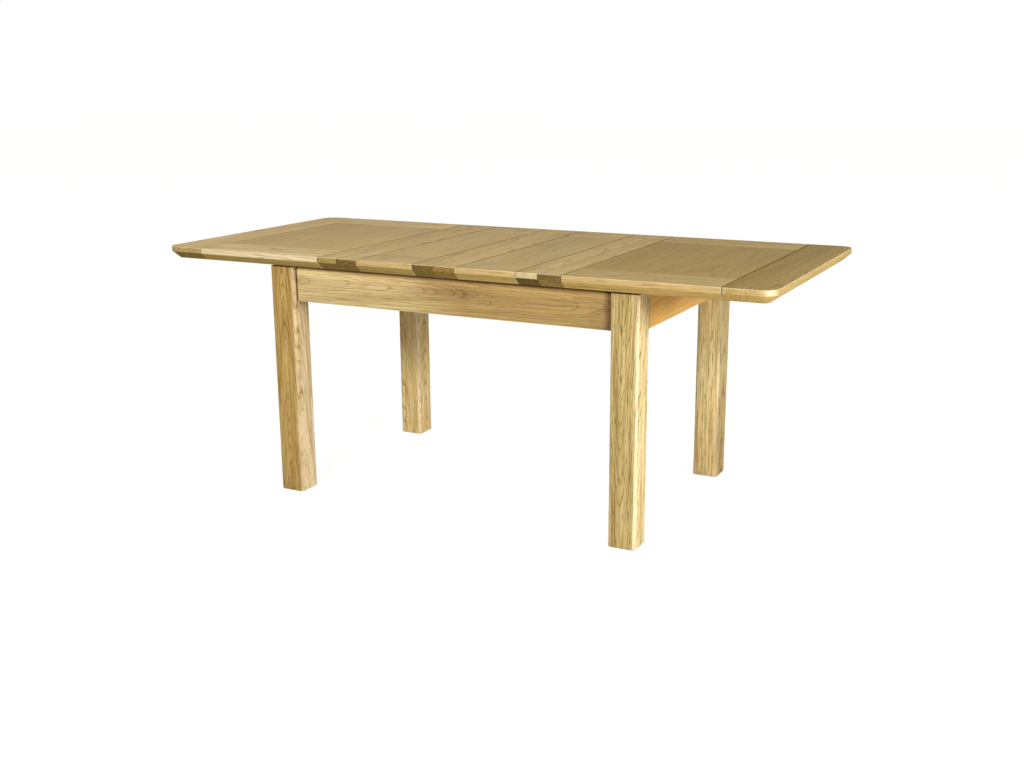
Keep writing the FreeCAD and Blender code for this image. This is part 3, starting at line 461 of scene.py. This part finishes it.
def top_board(node, body, x, y, sides, grain, cut, under=UNDERSIDE):
    """One board of the top between x[0] and x[1], and y[0] and y[1], and upwards from `under`.

    The sides are front, right, back, left. The corner between two outer sides is a round corner of
    the whole top, and the corner beside one outer side is an arris."""
    thickness = TOP - under
    outer = np.array([kind == "outer" for kind in sides])
    radii = np.choose(np.roll(outer, 1).astype(int) + outer, [0.0, ARRIS, CORNER_RADIUS])
    built = skin(oblong(*x, *y), sides, top_profiles(thickness), thickness, radii)
    ways = grain + ("y" if grain == "x" else "x") + "z"
    board(node, body, built, (0, 0, under), PLAN_AND_UP, ways, cut, TONES[node], sides,
          thickness - VEE)


def mirrored(side, low, high):
    """A span on the right of the table, or the same span on its left."""
    return (low, high) if side > 0 else (-high, -low)


def cross_board(node, body, side, x, outward, inward, cut):
    """A board across the whole table, with its grain across too.

    `outward` is the kind of its side away from the table's middle, and `inward` of the other."""
    right, left = (outward, inward) if side > 0 else (inward, outward)
    kinds = ("outer", right, "outer", left)
    top_board(node, body, mirrored(side, *x), (-EDGE, EDGE), kinds, "y", cut)


RAIL_SIDES = {"front": ("outer", "joint", "tight", "joint"), "back": ("tight", "joint", "outer", "joint")}
PANEL_SIDES = ("tight", "joint", "tight", "joint")
RAIL_Y = {"front": (-EDGE, -RAIL_INNER), "back": (RAIL_INNER, EDGE)}


def rails_and_panel(name, body, x, rail_cut, panel_cut):
    """What lies between the cross boards of a half or of a leaf."""
    for face, y in RAIL_Y.items():
        top_board(name + "rail_" + face, body, x, y, RAIL_SIDES[face], "x", rail_cut)
    top_board(name + "panel", body, x, (-RAIL_INNER, RAIL_INNER), PANEL_SIDES, "y",
              panel_cut, PANEL_UNDER)


print(f"round corners of {1000 * CORNER_RADIUS:.0f} mm")

# %% The two framed halves
HALF_LOOKS = {
    "left_end_board": look((-0.055, -0.060), ends=(0.45, 0.85)),
    "left_stile": look((0.016, -0.045), ends=(0.6, 0.9)),
    "left_rail": look((0.02, -0.075)),
    "left_panel": look((-0.10, -0.359), growth=(0.006, 0.02, 0.010)),
    "right_end_board": look((0.055, -0.060), ends=(0.3, 0.5)),
    "right_stile": look((0.022, -0.050)),
    "right_rail": look((-0.02, -0.065), flip=True),
    "right_panel": look((0.10, -0.359), growth=(0.006, 0.02, 0.010)),
}
for hand, side in SIDES.items():
    body, name = f"half_{hand}", f"top_{hand}_"
    end_x, stile_x = half_end[:, 0], half_stile[:, 0]
    cross_board(name + "end_board", body, side, end_x, "outer", "joint", HALF_LOOKS[hand + "_end_board"])
    cross_board(name + "stile", body, side, stile_x, "joint", "parting", HALF_LOOKS[hand + "_stile"])
    between = mirrored(side, stile_x[1], end_x[0])
    rails_and_panel(name, body, between, HALF_LOOKS[hand + "_rail"], HALF_LOOKS[hand + "_panel"])
print("boards in the two halves:", len(boards))

# %% The two loose leaves
LEAF_LOOKS = {
    "left_outer": look((0.03, -0.05)),
    "left_inner": look((-0.02, -0.04)),
    "left_rail": look((-0.01, -0.06)),
    "left_panel": look((0.05, -0.229), growth=(0.006, 0.03, 0.014)),
    "right_inner": look((0.015, -0.045)),
    "right_outer": look((0.012, -0.055), ends=(0.0, 1.0)),
    "right_rail": look((0.015, -0.07)),
    "right_panel": look((-0.06, -0.209), growth=(0.006, 0.03, 0.014)),
}
for hand, side in SIDES.items():
    body, name = f"leaf_{hand}", f"leaf_{hand}_"
    outer_x, inner_x = leaf_outer[:, 0], leaf_inner[:, 0]
    cross_board(name + "outer_stile", body, side, outer_x, "parting", "joint", LEAF_LOOKS[hand + "_outer"])
    cross_board(name + "inner_stile", body, side, inner_x, "joint", "parting", LEAF_LOOKS[hand + "_inner"])
    between = mirrored(side, inner_x[1], outer_x[0])
    rails_and_panel(name, body, between, LEAF_LOOKS[hand + "_rail"], LEAF_LOOKS[hand + "_panel"])
print("boards after the leaves:", len(boards))

# %% [markdown]
# ## The legs
# A leg is a square post with broad rounded edges, softer than any other edge of the table because
# shins meet it, and with its foot rounded so that it doesn't splinter when the table is dragged. It
# is sawn with the heart beside one face, so that arches climb that face and its neighbours show
# straight lines.

# %% Four legs
LEG_ROUND, FOOT_ROUND, HEAD_ROUND = 0.011, 0.004, 0.0008
leg_low, leg_high = leg_box
LEG_HIGH = leg_high[2] - leg_low[2]
leg_profile = {"leg": profile(LEG_HIGH, [(0, 0), (LEG_HIGH, 0)], [FOOT_ROUND, HEAD_ROUND], steps=7)}
LEG_LOOKS = {
    "leg_front_left": ("zxy", look((0.004, -0.024), growth=(0.0042, 0.095, 0.018))),
    "leg_front_right": ("zxy", look((-0.006, -0.030), flip=True, growth=(0.0062, 0.085, 0.022))),
    "leg_back_left": ("zxy", look((-0.030, 0.004), growth=(0.0040, 0.080, 0.016))),
    "leg_back_right": ("zyx", look((0.004, -0.120), growth=(0.0060, 0.030, 0.018))),
}
for face, front in FACES.items():
    for hand, side in SIDES.items():
        node = f"leg_{face}_{hand}"
        x, y = mirrored(side, leg_low[0], leg_high[0]), mirrored(front, leg_low[1], leg_high[1])
        built = skin(oblong(*x, *y), ["leg"] * 4, leg_profile, LEG_HIGH, LEG_ROUND, arc_steps=9)
        ways, cut = LEG_LOOKS[node]
        board(node, "frame", built, (0, 0, leg_low[2]), PLAN_AND_UP, ways, cut, TONES[node])
print("legs", round(1000 * LEG_HIGH), "mm long")

# %% [markdown]
# ## The aprons
# The aprons join the legs under the top. They stand back from the legs' faces, and their ends are
# eased, which draws the dark line where apron meets leg. The end aprons are notched so that the
# runners of the top can pass. An outline with eight more corners is all that a notched board needs.
# Along a long apron's upper edge a band is painted paler, painted light that lifts the shadow the
# top casts there, and painted shadow darkens the apron right under the top and beside the legs. Both
# are part of the finish, and here each long apron only learns how far the painted shadow reaches.

# %% The long aprons
APRON_BACK, APRON_EASE, GAP_BACK, GAP_EASE = 0.0008, 0.0012, 0.0004, 0.0045


def apron_profiles(thickness):
    """Rows of (height, inset), where height goes from the apron's inner face to its outer one."""
    corners = [(0, 0), (thickness, 0)]
    return {"plain": profile(thickness, corners, [APRON_BACK, APRON_EASE]),
            "joint": profile(thickness, corners, [GAP_BACK, GAP_EASE])}


APRON_SIDES = ("plain", "joint", "plain", "joint")
APRON_GROWTH, END_GROWTH = (0.0052, 0.070, 0.045), (0.0045, 0.03, 0.040)
# How far the painted shadow beside the legs reaches along a long apron, from each of its two legs.
LONG_LEE = (0.008, 0.030)
APRON_LOOKS = {
    "front": look((0.012, -0.032), growth=APRON_GROWTH, eye=(0.19, 0.004, 0.085, 0.018),
                  turn=(-0.04, 0.22), lee=LONG_LEE),
    "back": look((-0.010, 0.034), growth=APRON_GROWTH, eye=(-0.24, -0.006, 0.09, 0.022),
                 turn=(0.1, 0.5), lee=LONG_LEE),
    "left": look((0.030, -0.035), growth=END_GROWTH),
    "right": look((0.030, 0.035), growth=END_GROWTH, eye=(-0.20, 0.0, 0.10, 0.035)),
}
leg_inner_x, leg_inner_y = leg_low[:2]
for face, front in FACES.items():
    low, high = faces_of("apron_" + face)
    depth = high[1] - low[1]
    outline = oblong(-leg_inner_x, leg_inner_x, low[2], high[2])
    built = skin(outline, APRON_SIDES, apron_profiles(depth), depth)
    inner = high[1] if front < 0 else low[1]
    board("apron_" + face, "frame", built, (0, inner, 0), [(1, "x"), (1, "z"), (front, "y")],
          "xzy", APRON_LOOKS[face], TONES["apron_" + face], APRON_SIDES, depth - GAP_EASE)
print("boards with the legs and the long aprons:", len(boards))


# %% The notched end aprons
def notched(y, z, gaps, notch):
    """A rectangle whose upper side steps down to the height `notch` over each span in `gaps`.

    Its corners come anticlockwise, so the gaps are taken from the far end to the near one."""
    steps = np.array([[(b, z[1]), (b, notch), (a, notch), (a, z[1])] for a, b in sorted(gaps, reverse=True)])
    return np.vstack([[(y[0], z[0]), (y[1], z[0]), (y[1], z[1])], steps.reshape(-1, 2), [(y[0], z[1])]])


ROOM_BESIDE, ROOM_BELOW = 0.0007, 0.0003
for hand, side in SIDES.items():
    low, high = faces_of("apron_" + hand)
    depth = high[0] - low[0]
    runners = [faces_of(f"runner_{hand}_{face}") for face in FACES]
    gaps = [(r[0, 1] - ROOM_BESIDE, r[1, 1] + ROOM_BESIDE) for r in runners]
    outline = notched((-leg_inner_y, leg_inner_y), (low[2], high[2]), gaps, runners[0][0, 2] - ROOM_BELOW)
    kinds = ["plain", "joint"] + ["plain"] * (len(outline) - 3) + ["joint"]
    built = skin(outline, kinds, apron_profiles(depth), depth)
    inner = low[0] if side > 0 else high[0]
    board("apron_" + hand, "frame", built, (inner, 0, 0), [(1, "y"), (1, "z"), (side, "x")],
          "yzx", APRON_LOOKS[hand], TONES["apron_" + hand], kinds, depth - GAP_EASE)
print("boards in all:", len(boards))

# %% [markdown]
# ## Writing a finish as sums
# A finish is a sum: so much ring, less so much pore, times the tone of the board. Blender's shader
# editor spells each sign as a box with wires. A small class that stands for one wire and knows
# +, -, x, / and powers lets the sum be written as a sum, and it adds the boxes itself.


# %% A wire of a finish
class Wire:
    """One output of a finish. Sums on wires add Math nodes, and `node` adds any other node."""

    def __init__(self, tree, socket=None):
        self.tree, self.socket = tree, socket

    def node(self, kind, settings=None, sockets=None, output=0):
        """Adds a node: its settings first, then a value or a wire for each named or numbered socket."""
        made = self.tree.nodes.new(kind)
        for key, value in (settings or {}).items():
            setattr(made, key, value)
        for key, value in (sockets or {}).items():
            if isinstance(value, Wire):
                self.tree.links.new(value.socket, made.inputs[key])
            else:
                made.inputs[key].default_value = value
        return Wire(self.tree, made.outputs[output] if made.outputs else None)

    def sum(self, operation, *values, clamp=False):
        """One step of arithmetic on wires and numbers, held between 0 and 1 with `clamp`."""
        settings = {"operation": operation, "use_clamp": clamp}
        return self.node("ShaderNodeMath", settings, dict(enumerate(values)))

    def __add__(self, other):
        return self.sum("ADD", self, other)

    def __radd__(self, other):
        return self.sum("ADD", other, self)

    def __sub__(self, other):
        return self.sum("SUBTRACT", self, other)

    def __rsub__(self, other):
        return self.sum("SUBTRACT", other, self)

    def __mul__(self, other):
        return self.sum("MULTIPLY", self, other)

    def __rmul__(self, other):
        return self.sum("MULTIPLY", other, self)

    def __truediv__(self, other):
        return self.sum("DIVIDE", self, other)

    def __rtruediv__(self, other):
        return self.sum("DIVIDE", other, self)

    def __pow__(self, other):
        return self.sum("POWER", self, other)

    def held(self):
        """The wire kept between 0 and 1."""
        return self.sum("ADD", self, 0.0, clamp=True)

    def over(self, low, high):
        """0 at `low` and before it, 1 at `high` and beyond it, and a straight line between them.

        `high` may be the smaller of the two."""
        return self.sum("MULTIPLY_ADD", self, 1 / (high - low), -low / (high - low), clamp=True)

    def part(self, which):
        """One of the three numbers that a vector wire carries."""
        return self.node("ShaderNodeSeparateXYZ", {}, {0: self}, which)

    def vector(self, operation, other, output=0):
        """Arithmetic on two vectors. Output 0 is a vector, and output 1 is a number."""
        return self.node("ShaderNodeVectorMath", {"operation": operation}, {0: self, 1: other}, output)

    def length(self, counted):
        """The length of a vector wire, in which only the parts that `counted` marks with 1 count."""
        return self.vector("MULTIPLY", counted).vector("LENGTH", (0, 0, 0), 1)

    def cloud(self, stretch, detail=3.0, rough=0.55):
        """Soft noise between 0 and 1, which changes `stretch` times in a metre each way."""
        place = self.vector("MULTIPLY", stretch)
        return self.node("ShaderNodeTexNoise", {"noise_dimensions": "3D"},
                         {"Vector": place, "Scale": 1.0, "Detail": detail, "Roughness": rough})

    def along_line(self, scale=1.0, detail=2.0, rough=0.6):
        """Soft noise along one number, as the good and bad years of a tree are."""
        return self.node("ShaderNodeTexNoise", {"noise_dimensions": "1D"},
                         {"W": self, "Scale": scale, "Detail": detail, "Roughness": rough})

    def mixed(self, low, high):
        """A colour from `low` to `high` as the wire goes from 0 to 1."""
        colours = {6 + n: c if isinstance(c, Wire) else (*c, 1) for n, c in enumerate((low, high))}
        return self.node("ShaderNodeMix", {"data_type": "RGBA"}, {0: self, **colours}, 2)


def colour(red, green, blue):
    """A colour as a screen writes it, 0 to 255, turned into the light that Blender works in."""
    c = np.array([red, green, blue]) / 255
    return tuple(np.where(c > 0.04045, ((c + 0.055) / 1.055) ** 2.4, c / 12.92).tolist())

# %% [markdown]
# ## Oak
# Oak has three marks that no other furniture wood has together. Its rings start each spring with a
# row of open pores, so each line is sharp on one side and fades on the other. The pores run along
# the board as short dark dashes. And rays cross the rings like spokes, and show as pale flecks on
# some faces and dark threads on the end grain. The board is sanded and lacquered to a satin, which
# stays rougher in the pores. Each mark below reads the place in the tree that the boards carry, and
# the last lines add worn arrises, painted highlights, dark vees, and the aprons' painted light and shadow.


# %% The rings
EYE_RISE = 0.020


def rings(place, growth, eye, wander, jag, sharp):
    """How dark the ring lines are, and how dark the decade, both from 0 to 1.

    Ring number = (distance from the heart + taper x length along the trunk + swirl x slow noise +
    jag x quick noise + rise of the eye) / width of a year. The rise is EYE_RISE / (1 + d^2)^2 at d
    from the eye. The fraction f of the ring number gives the sharp spring edge (1 - f)^sharp, and
    slow noise along the number gives the good and bad years and decades."""
    year, taper, swirl = (growth.part(n) for n in range(3))
    drift = place.cloud((wander[0], wander[1], wander[1]), 2.0, 0.5) - 0.5
    quiver = place.cloud((14, 230, 230), 3.0, 0.6) - 0.5
    from_heart, from_eye = place.length((0, 1, 1)), eye.length((1, 1, 0))
    rise = EYE_RISE / (1 + from_eye * from_eye) ** 2.0
    number = (from_heart + place.part(0) * taper + drift * swirl + quiver * (2 * jag) + rise) / year
    spring = (1 - number.sum("FRACT", number)) ** sharp
    bad_year = (number * 0.83).along_line(1.0, 1.0, 0.5).over(0.38, 0.60)
    bad_decade = (number * 0.21).along_line(1.0, 2.0, 0.5).over(0.34, 0.66)
    return spring * (0.15 + bad_year * 0.85), bad_decade


# %% Painted light and shadow on the aprons, and dark vees
# The first colour is the pale of rubbed arrises and of painted highlights; the second is the brown of dark
# vees and of painted shadow.
RUBBED_AND_HIGHLIGHT, VEE_AND_SHADOW_BROWN = colour(250, 232, 196), colour(62, 42, 18)
PAINTED_LIGHT_BAND, PALER, BAND_SHARE = (0.034, 0.012), 1.9, 0.40
PAINTED_SHADOW_LINE = (0.0070, 0.0020)


def with_painted_light_shadow_and_vees(body, vee, room):
    """The colour `body` with a band of painted light, with painted shadow, and with dark vees.

    The band's two lengths and the shadow line's two lengths say how many metres below the apron's
    upper edge the painted light and the painted shadow have faded out, and how many metres below it
    they are whole. The band takes BAND_SHARE of a colour that is PALER times as light, painted light
    that lifts the shadow the top casts there. Beside a leg the painted shadow fades out within the
    leg's lee, and a vee is full of the same dark brown."""
    below = room.part(0)
    # Painted light: a paler band along the upper edge, where the top casts its shadow on the apron.
    band = body.vector("MULTIPLY", (PALER, PALER, PALER))
    body = (below.over(*PAINTED_LIGHT_BAND) * BAND_SHARE).mixed(body, band)
    # Painted shadow: a dark line right under the top, and darker strips beside the legs.
    by_legs = room.part(1).over(1.0, 0.5) * 0.9 + room.part(2).over(1.0, 0.4) * 0.75
    painted_shadow = below.over(*PAINTED_SHADOW_LINE) + by_legs
    return (vee * 0.85 + painted_shadow * 0.9).held().mixed(body, VEE_AND_SHADOW_BROWN)


def darker(wood, light):
    """The same colour with only that share of its light."""
    return tuple(light * part for part in wood)


# %% The oak finish
SATIN = 0.50
RAYS_IN_A_RADIAN = 26.0


def oak(name, pale, deep, wander=(2.2, 9.0), jag=0.0012, sharp=3.0, figure=0.6, pores=0.35,
        pore_size=(20, 240, 240), streaks=0.3, streak_size=(1.4, 70, 70), fibres=0.9, ground=0.15,
        shine=0.004, worn=0.6):
    """Oak worked out from a board's place in its tree, between the colours `pale` and `deep`.

    Shade = (line / 2 + decade / 4) x figure + streaks + patches + fibres + ground. Pores open where
    fine noise, stretched along the trunk and helped by the spring edge, passes a limit. On the end
    grain the angle round the heart gives the rays. The board's tone, which turns from the near one
    to the far one along an apron, multiplies the whole."""
    material = bpy.data.materials.new(name)
    material.use_nodes = True
    material.node_tree.nodes.clear()
    bench = Wire(material.node_tree)
    place, finish, tone, far_tone, growth, eye, room = (
        bench.node("ShaderNodeAttribute", {"attribute_name": kept}, output="Vector")
        for kept in ("tree", "finish", "tone", "far_tone", "growth", "eye", "room"))
    vee, end, rubbed = finish.part(0), finish.part(1).over(0.25, 1.0), finish.part(2).held()
    line, decade = rings(place, growth, eye, wander, jag, sharp)

    fibre = place.cloud((9, 330, 330), 3.0, 0.6) - 0.5
    streak = place.cloud(streak_size, 3.0, 0.6) - 0.5
    patch = place.cloud((1.8, 7, 7), 2.0, 0.5) - 0.5
    pore = (place.cloud(pore_size, 2.0, 0.5) + line * 0.24).over(0.58, 0.72) * pores
    angle = place.part(1).sum("ARCTAN2", place.part(1), place.part(2))
    rays = (angle * RAYS_IN_A_RADIAN).along_line(1.0, 2.0, 0.6).over(0.56, 0.66)

    dark = (line * 0.50 + decade * 0.25) * figure + streak * (2 * streaks) + patch * 0.45 + fibre * fibres
    shade = (dark + ground).held()
    body = pore.mixed(shade.mixed(pale, deep), darker(deep, 0.55))
    cut_across = (shade * 0.8 + 0.2 + (line - 0.2) * 1.1 + streak * 1.2 - rays * 0.45).held()
    cut_across = cut_across.mixed(darker(deep, 0.95), darker(deep, 0.26))
    body = (end * 0.92).mixed(body, cut_across)
    body = body.vector("MULTIPLY", eye.part(2).held().mixed(tone, far_tone))
    # Rubbed arrises turn pale, and the same mix paints highlights on the top's edges; then the long aprons
    # get painted light and painted shadow, and the vees go dark.
    body = with_painted_light_shadow_and_vees((rubbed * worn).mixed(body, RUBBED_AND_HIGHLIGHT), vee, room)

    rough = SATIN + pore * 0.22 + fibre * 0.16 + end * 0.12 - rubbed * 0.12
    height = 0.5 - pore * 0.5 - line * 0.12 + fibre * 0.3
    dents = bench.node("ShaderNodeBump", {}, {"Height": height, "Strength": 0.12, "Distance": 0.0004})
    surface = bench.node("ShaderNodeBsdfPrincipled", {}, {
        "Base Color": body, "Roughness": rough, "Normal": dents, "Coat Weight": rubbed * 0.5,
        "Coat Roughness": 0.25, "Specular IOR Level": shine})
    bench.node("ShaderNodeOutputMaterial", {}, {"Surface": surface})
    return material


# %% One oak for each way of sawing it
LEG_OAK = {"wander": (2.5, 6.0), "fibres": 1.0, "shine": 0.05, "worn": 0.12}
APRON_OAK = {"pale": colour(218, 189, 134), "deep": colour(138, 100, 42), "wander": (3.2, 8.0),
             "streak_size": (2.2, 150, 150), "shine": 0.03}
finishes = {
    "rails": oak("oak_rails", colour(206, 172, 106), colour(142, 106, 48), fibres=0.7),
    "cross": oak("oak_cross_boards", colour(204, 170, 102), colour(138, 104, 46), figure=0.55,
                 pores=0.30, streaks=0.55, streak_size=(1.4, 120, 120)),
    "panel": oak("oak_panels", colour(196, 163, 98), colour(138, 104, 48), figure=0.25,
                 pores=0.20, streaks=0.40, streak_size=(1.4, 150, 150)),
    "crown": oak("oak_crown_cut_legs", colour(232, 206, 150), colour(158, 118, 52), jag=0.0014,
                 sharp=2.6, figure=1.0, pores=0.40, pore_size=(24, 240, 240), streaks=0.75,
                 streak_size=(3.0, 170, 170), ground=0.22, **LEG_OAK),
    "rift": oak("oak_rift_cut_legs", colour(238, 212, 156), colour(146, 106, 40), jag=0.0016,
                sharp=4.0, figure=0.5, pores=0.65, pore_size=(26, 240, 240), streaks=1.0,
                streak_size=(4.0, 210, 210), ground=0.3, **LEG_OAK),
    "apron": oak("oak_aprons", jag=0.0010, sharp=3.5, figure=1.0, streaks=0.60, fibres=1.0, **APRON_OAK),
    "ripple": oak("oak_end_aprons", sharp=2.0, figure=0.45, pores=0.08, streaks=0.20, fibres=0.7,
                  ground=0.32, **APRON_OAK),
}
print("oak finishes:", sorted(finishes))

# %% Give each board its oak
# The first of these words that is in a board's name decides.
FINISH_OF = {"panel": "panel", "rail": "rails", "board": "cross", "stile": "cross",
             "leg_front_left": "crown", "leg_back_left": "crown", "leg_": "rift",
             "apron_left": "ripple", "apron_right": "ripple", "apron": "apron"}
used = dict.fromkeys(finishes, 0)
for node, piece in boards.items():
    chosen = next(finish for word, finish in FINISH_OF.items() if word in node)
    piece.data.materials.append(finishes[chosen])
    used[chosen] += 1
print("boards in each oak:", used)

# %% [markdown]
# ## What holds the table together
# Runners, rails and blocks that nobody sees are beech, which is hard, cheap and slides well. It is
# pale pink with short brown flecks. The equaliser is steel, painted black, and the fixings are
# plated with zinc, which keeps a bluish spangle. The glides are nylon. These parts keep their solid
# shapes, so their finishes read Object coordinates, in metres.


# %% An empty finish
NO_SEAM = (0.31, 0.17, 0.05)


def plain_finish(name, metallic=0.0, specular=0.5):
    """A finish on Object coordinates: the coordinates, and a function that ends the finish.

    They are moved by NO_SEAM, so that no pattern is centred on the middle of the table."""
    material = bpy.data.materials.new(name)
    material.use_nodes = True
    material.node_tree.nodes.clear()
    bench = Wire(material.node_tree)
    spot = bench.node("ShaderNodeTexCoord", {}, output="Object")
    spot = bench.node("ShaderNodeMapping", {}, {"Vector": spot, "Location": NO_SEAM})

    def ended(base, rough, height, strength, depth):
        dents = bench.node("ShaderNodeBump", {}, {"Height": height, "Strength": strength, "Distance": depth})
        surface = bench.node("ShaderNodeBsdfPrincipled", {}, {
            "Base Color": base, "Roughness": rough, "Normal": dents, "Metallic": metallic,
            "Specular IOR Level": specular})
        bench.node("ShaderNodeOutputMaterial", {}, {"Surface": surface})
        return material

    return spot, ended


print("patterns are moved by", NO_SEAM)


# %% Beech, steel, zinc and nylon
def beech(name, stretch):
    """Pale wood: slow bands along the piece, and short dark flecks where its rays come up."""
    spot, ended = plain_finish(name, specular=0.3)
    bands = spot.cloud(tuple(3 if s else 60 for s in stretch), 3.0, 0.6)
    flecks = spot.cloud(tuple(90 if s else 900 for s in stretch), 1.0, 0.5).over(0.60, 0.72)
    base = bands.over(0.3, 0.7).mixed(colour(222, 190, 152), colour(196, 158, 118))
    base = (flecks * 0.5).mixed(base, colour(150, 108, 74))
    return ended(base, 0.5 + bands * 0.15, bands * 0.5 - flecks * 0.3, 0.2, 0.0004)


def black_steel():
    """Painted steel: a fine orange peel, and a little bare metal where it rubs."""
    spot, ended = plain_finish("black_painted_steel")
    peel = spot.cloud((700, 700, 700), 2.0, 0.5)
    rubbed = spot.cloud((45, 45, 45), 4.0, 0.65).over(0.62, 0.74)
    base = (rubbed * 0.5).mixed(colour(38, 38, 40), colour(92, 90, 88))
    return ended(base, 0.42 + peel * 0.12 + rubbed * 0.1, peel, 0.25, 0.0002)


def zinc_steel():
    """Zinc plate: crystals a few millimetres wide, each a little lighter or darker than the next."""
    spot, ended = plain_finish("zinc_plated_steel", metallic=1.0)
    crystals = {"Vector": spot, "Scale": 420.0}
    grains = spot.node("ShaderNodeTexVoronoi", {"feature": "F1"}, crystals, "Distance")
    stain = spot.cloud((60, 60, 60), 3.0, 0.6)
    base = (grains * 0.7 + stain * 0.4).held().mixed(colour(196, 202, 206), colour(150, 154, 156))
    return ended(base, 0.28 + stain * 0.2, grains, 0.15, 0.0001)


def glide_nylon():
    """Moulded nylon: an even brown with scuffs from the floor."""
    spot, ended = plain_finish("brown_nylon")
    scuffs = spot.cloud((150, 900, 300), 2.0, 0.5).over(0.5, 0.7)
    base = (scuffs * 0.4).mixed(colour(88, 66, 46), colour(134, 116, 96))
    return ended(base, 0.4 + scuffs * 0.2, scuffs, 0.2, 0.0002)


hidden = {
    "beech_along": beech("beech_along_the_table", (1, 0, 0)),
    "beech_across": beech("beech_across_the_table", (0, 1, 0)),
    "black": black_steel(),
    "zinc": zinc_steel(),
    "nylon": glide_nylon(),
}
print("finishes for hidden parts:", sorted(hidden))


# %% Dress the parts that keep their own shape
def hidden_finish(node):
    """Which of those finishes a solid of the frame takes, from its name."""
    if "glides" in node:
        return "nylon"
    if any(word in node for word in ("screws", "bolts", "washers", "nut", "stud", "pins")):
        return "zinc"
    if any(word in node for word in ("lever", "link")):
        return "black"
    if any(word in node for word in ("cross_rail", "batten", "cleat")):
        return "beech_across"
    return "beech_along"


kept_shapes = {node: solid for node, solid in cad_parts.items() if node not in boards}
for node, solid in kept_shapes.items():
    chosen = hidden[hidden_finish(node)]
    if not solid.data.materials:
        solid.data.materials.append(chosen)
    for spot in solid.material_slots:
        spot.material = chosen
print("solids that keep their shape:", len(kept_shapes))

# %% [markdown]
# ## Floor, light and camera
# Furniture is shown on a pale sweep with light from large soft boxes. The floor is a plain pale
# sheet. Half of what the camera sees of it is the lit sheet, which keeps the shadow, and half is an
# even glow that brings it up to white, so the sheet itself doesn't show. The sky gives an even
# light, and two soft boxes, one on the right and one in front, give the edges their sparkle.

# %% The floor
FLOOR_SIZE, FLOOR_DROP, GLOW = 60, 0.0005, 1.73


def ray(bench, kind):
    """1 on rays of one kind, which reach the camera straight, mirrored or through glass, and else 0."""
    return bench.node("ShaderNodeLightPath", {}, output=f"Is {kind} Ray")


bpy.ops.mesh.primitive_plane_add(size=FLOOR_SIZE, location=(0, 0, -FLOOR_DROP))
floor = bpy.context.object
floor.name = "floor"
sheet = bpy.data.materials.new("pale_floor")
sheet.use_nodes = True
sheet.node_tree.nodes.clear()
bench = Wire(sheet.node_tree)
shown = ray(bench, "Camera") * 0.5 + (ray(bench, "Glossy") + ray(bench, "Transmission")) * 0.4
paper = bench.node("ShaderNodeBsdfDiffuse", {}, {"Color": (0.62, 0.615, 0.60, 1)})
glow = bench.node("ShaderNodeEmission", {}, {"Color": (1, 1, 1, 1), "Strength": GLOW})
both = bench.node("ShaderNodeMixShader", {}, {0: shown.held(), 1: paper, 2: glow})
bench.node("ShaderNodeOutputMaterial", {}, {"Surface": both})
floor.data.materials.append(sheet)
print("floor:", FLOOR_SIZE, "m wide,", 1000 * FLOOR_DROP, "mm under the feet")

# %% The sky
SKY_LIGHT = 0.44
world = bpy.data.worlds.new("soft_sky")
world.use_nodes = True
world.node_tree.nodes.clear()
sky = Wire(world.node_tree)
shown = ray(sky, "Camera") + (ray(sky, "Glossy") + ray(sky, "Transmission")) * 0.3
even = sky.node("ShaderNodeBackground", {}, {"Color": (1.0, 0.99, 0.97, 1), "Strength": SKY_LIGHT})
white = sky.node("ShaderNodeBackground", {}, {"Color": (1, 1, 1, 1), "Strength": 1.0})
both = sky.node("ShaderNodeMixShader", {}, {0: shown.held(), 1: even, 2: white})
sky.node("ShaderNodeOutputWorld", {}, {"Surface": both})
bpy.context.scene.world = world
print("light of the sky:", SKY_LIGHT)

# %% Two soft boxes
BOX_POWER = 190


def stand(thing, right, upward, back, place):
    """Stands a lamp or a camera at `place`, with its own x, y and z along the three directions."""
    pose = np.eye(4)
    pose[:3] = np.stack([right, upward, back, place], axis=1)
    thing.matrix_world = Matrix(pose.tolist())


def soft_box(name, place, aim, size):
    """A square lamp of `size` metres at `place`, turned so that it shines at `aim`."""
    lamp = bpy.data.lights.new(name, "AREA")
    lamp.shape, lamp.size, lamp.energy = "SQUARE", size, BOX_POWER
    holder = bpy.data.objects.new(name, lamp)
    bpy.context.scene.collection.objects.link(holder)
    back = np.subtract(place, aim)
    back = back / np.linalg.norm(back)
    right = np.cross((0, 0, 1), back)
    right = right / np.linalg.norm(right)
    stand(holder, right, np.cross(back, right), back, place)


soft_box("box_right", (5.3, -1.2, 2.0), (0.2, 0, 0.5), 1.2)
soft_box("box_front", (0.8, -5.2, 3.0), (0, 0, 0.5), 1.0)
print("soft boxes of", BOX_POWER, "W")

# %% The camera
FOCAL_LENGTH, FILM_WIDTH = 43.33, 36.0
CAMERA_PLACE = (1.8263, -3.4760, 1.3240)
YAW, PITCH, ROLL = -0.4790, 0.2477, -0.0067
lens = bpy.data.cameras.new("camera")
lens.lens, lens.sensor_width = FOCAL_LENGTH, FILM_WIDTH
camera = bpy.data.objects.new("camera", lens)
bpy.context.scene.collection.objects.link(camera)
ahead = np.array([math.sin(YAW) * math.cos(PITCH), math.cos(YAW) * math.cos(PITCH), -math.sin(PITCH)])
level = np.array([math.cos(YAW), -math.sin(YAW), 0])
upward = np.cross(level, ahead)
right = level * math.cos(ROLL) + upward * math.sin(ROLL)
upward = -level * math.sin(ROLL) + upward * math.cos(ROLL)
stand(camera, right, upward, -ahead, CAMERA_PLACE)
bpy.context.scene.camera = camera
bpy.context.scene.view_settings.view_transform = "Standard"
print("camera at", CAMERA_PLACE)
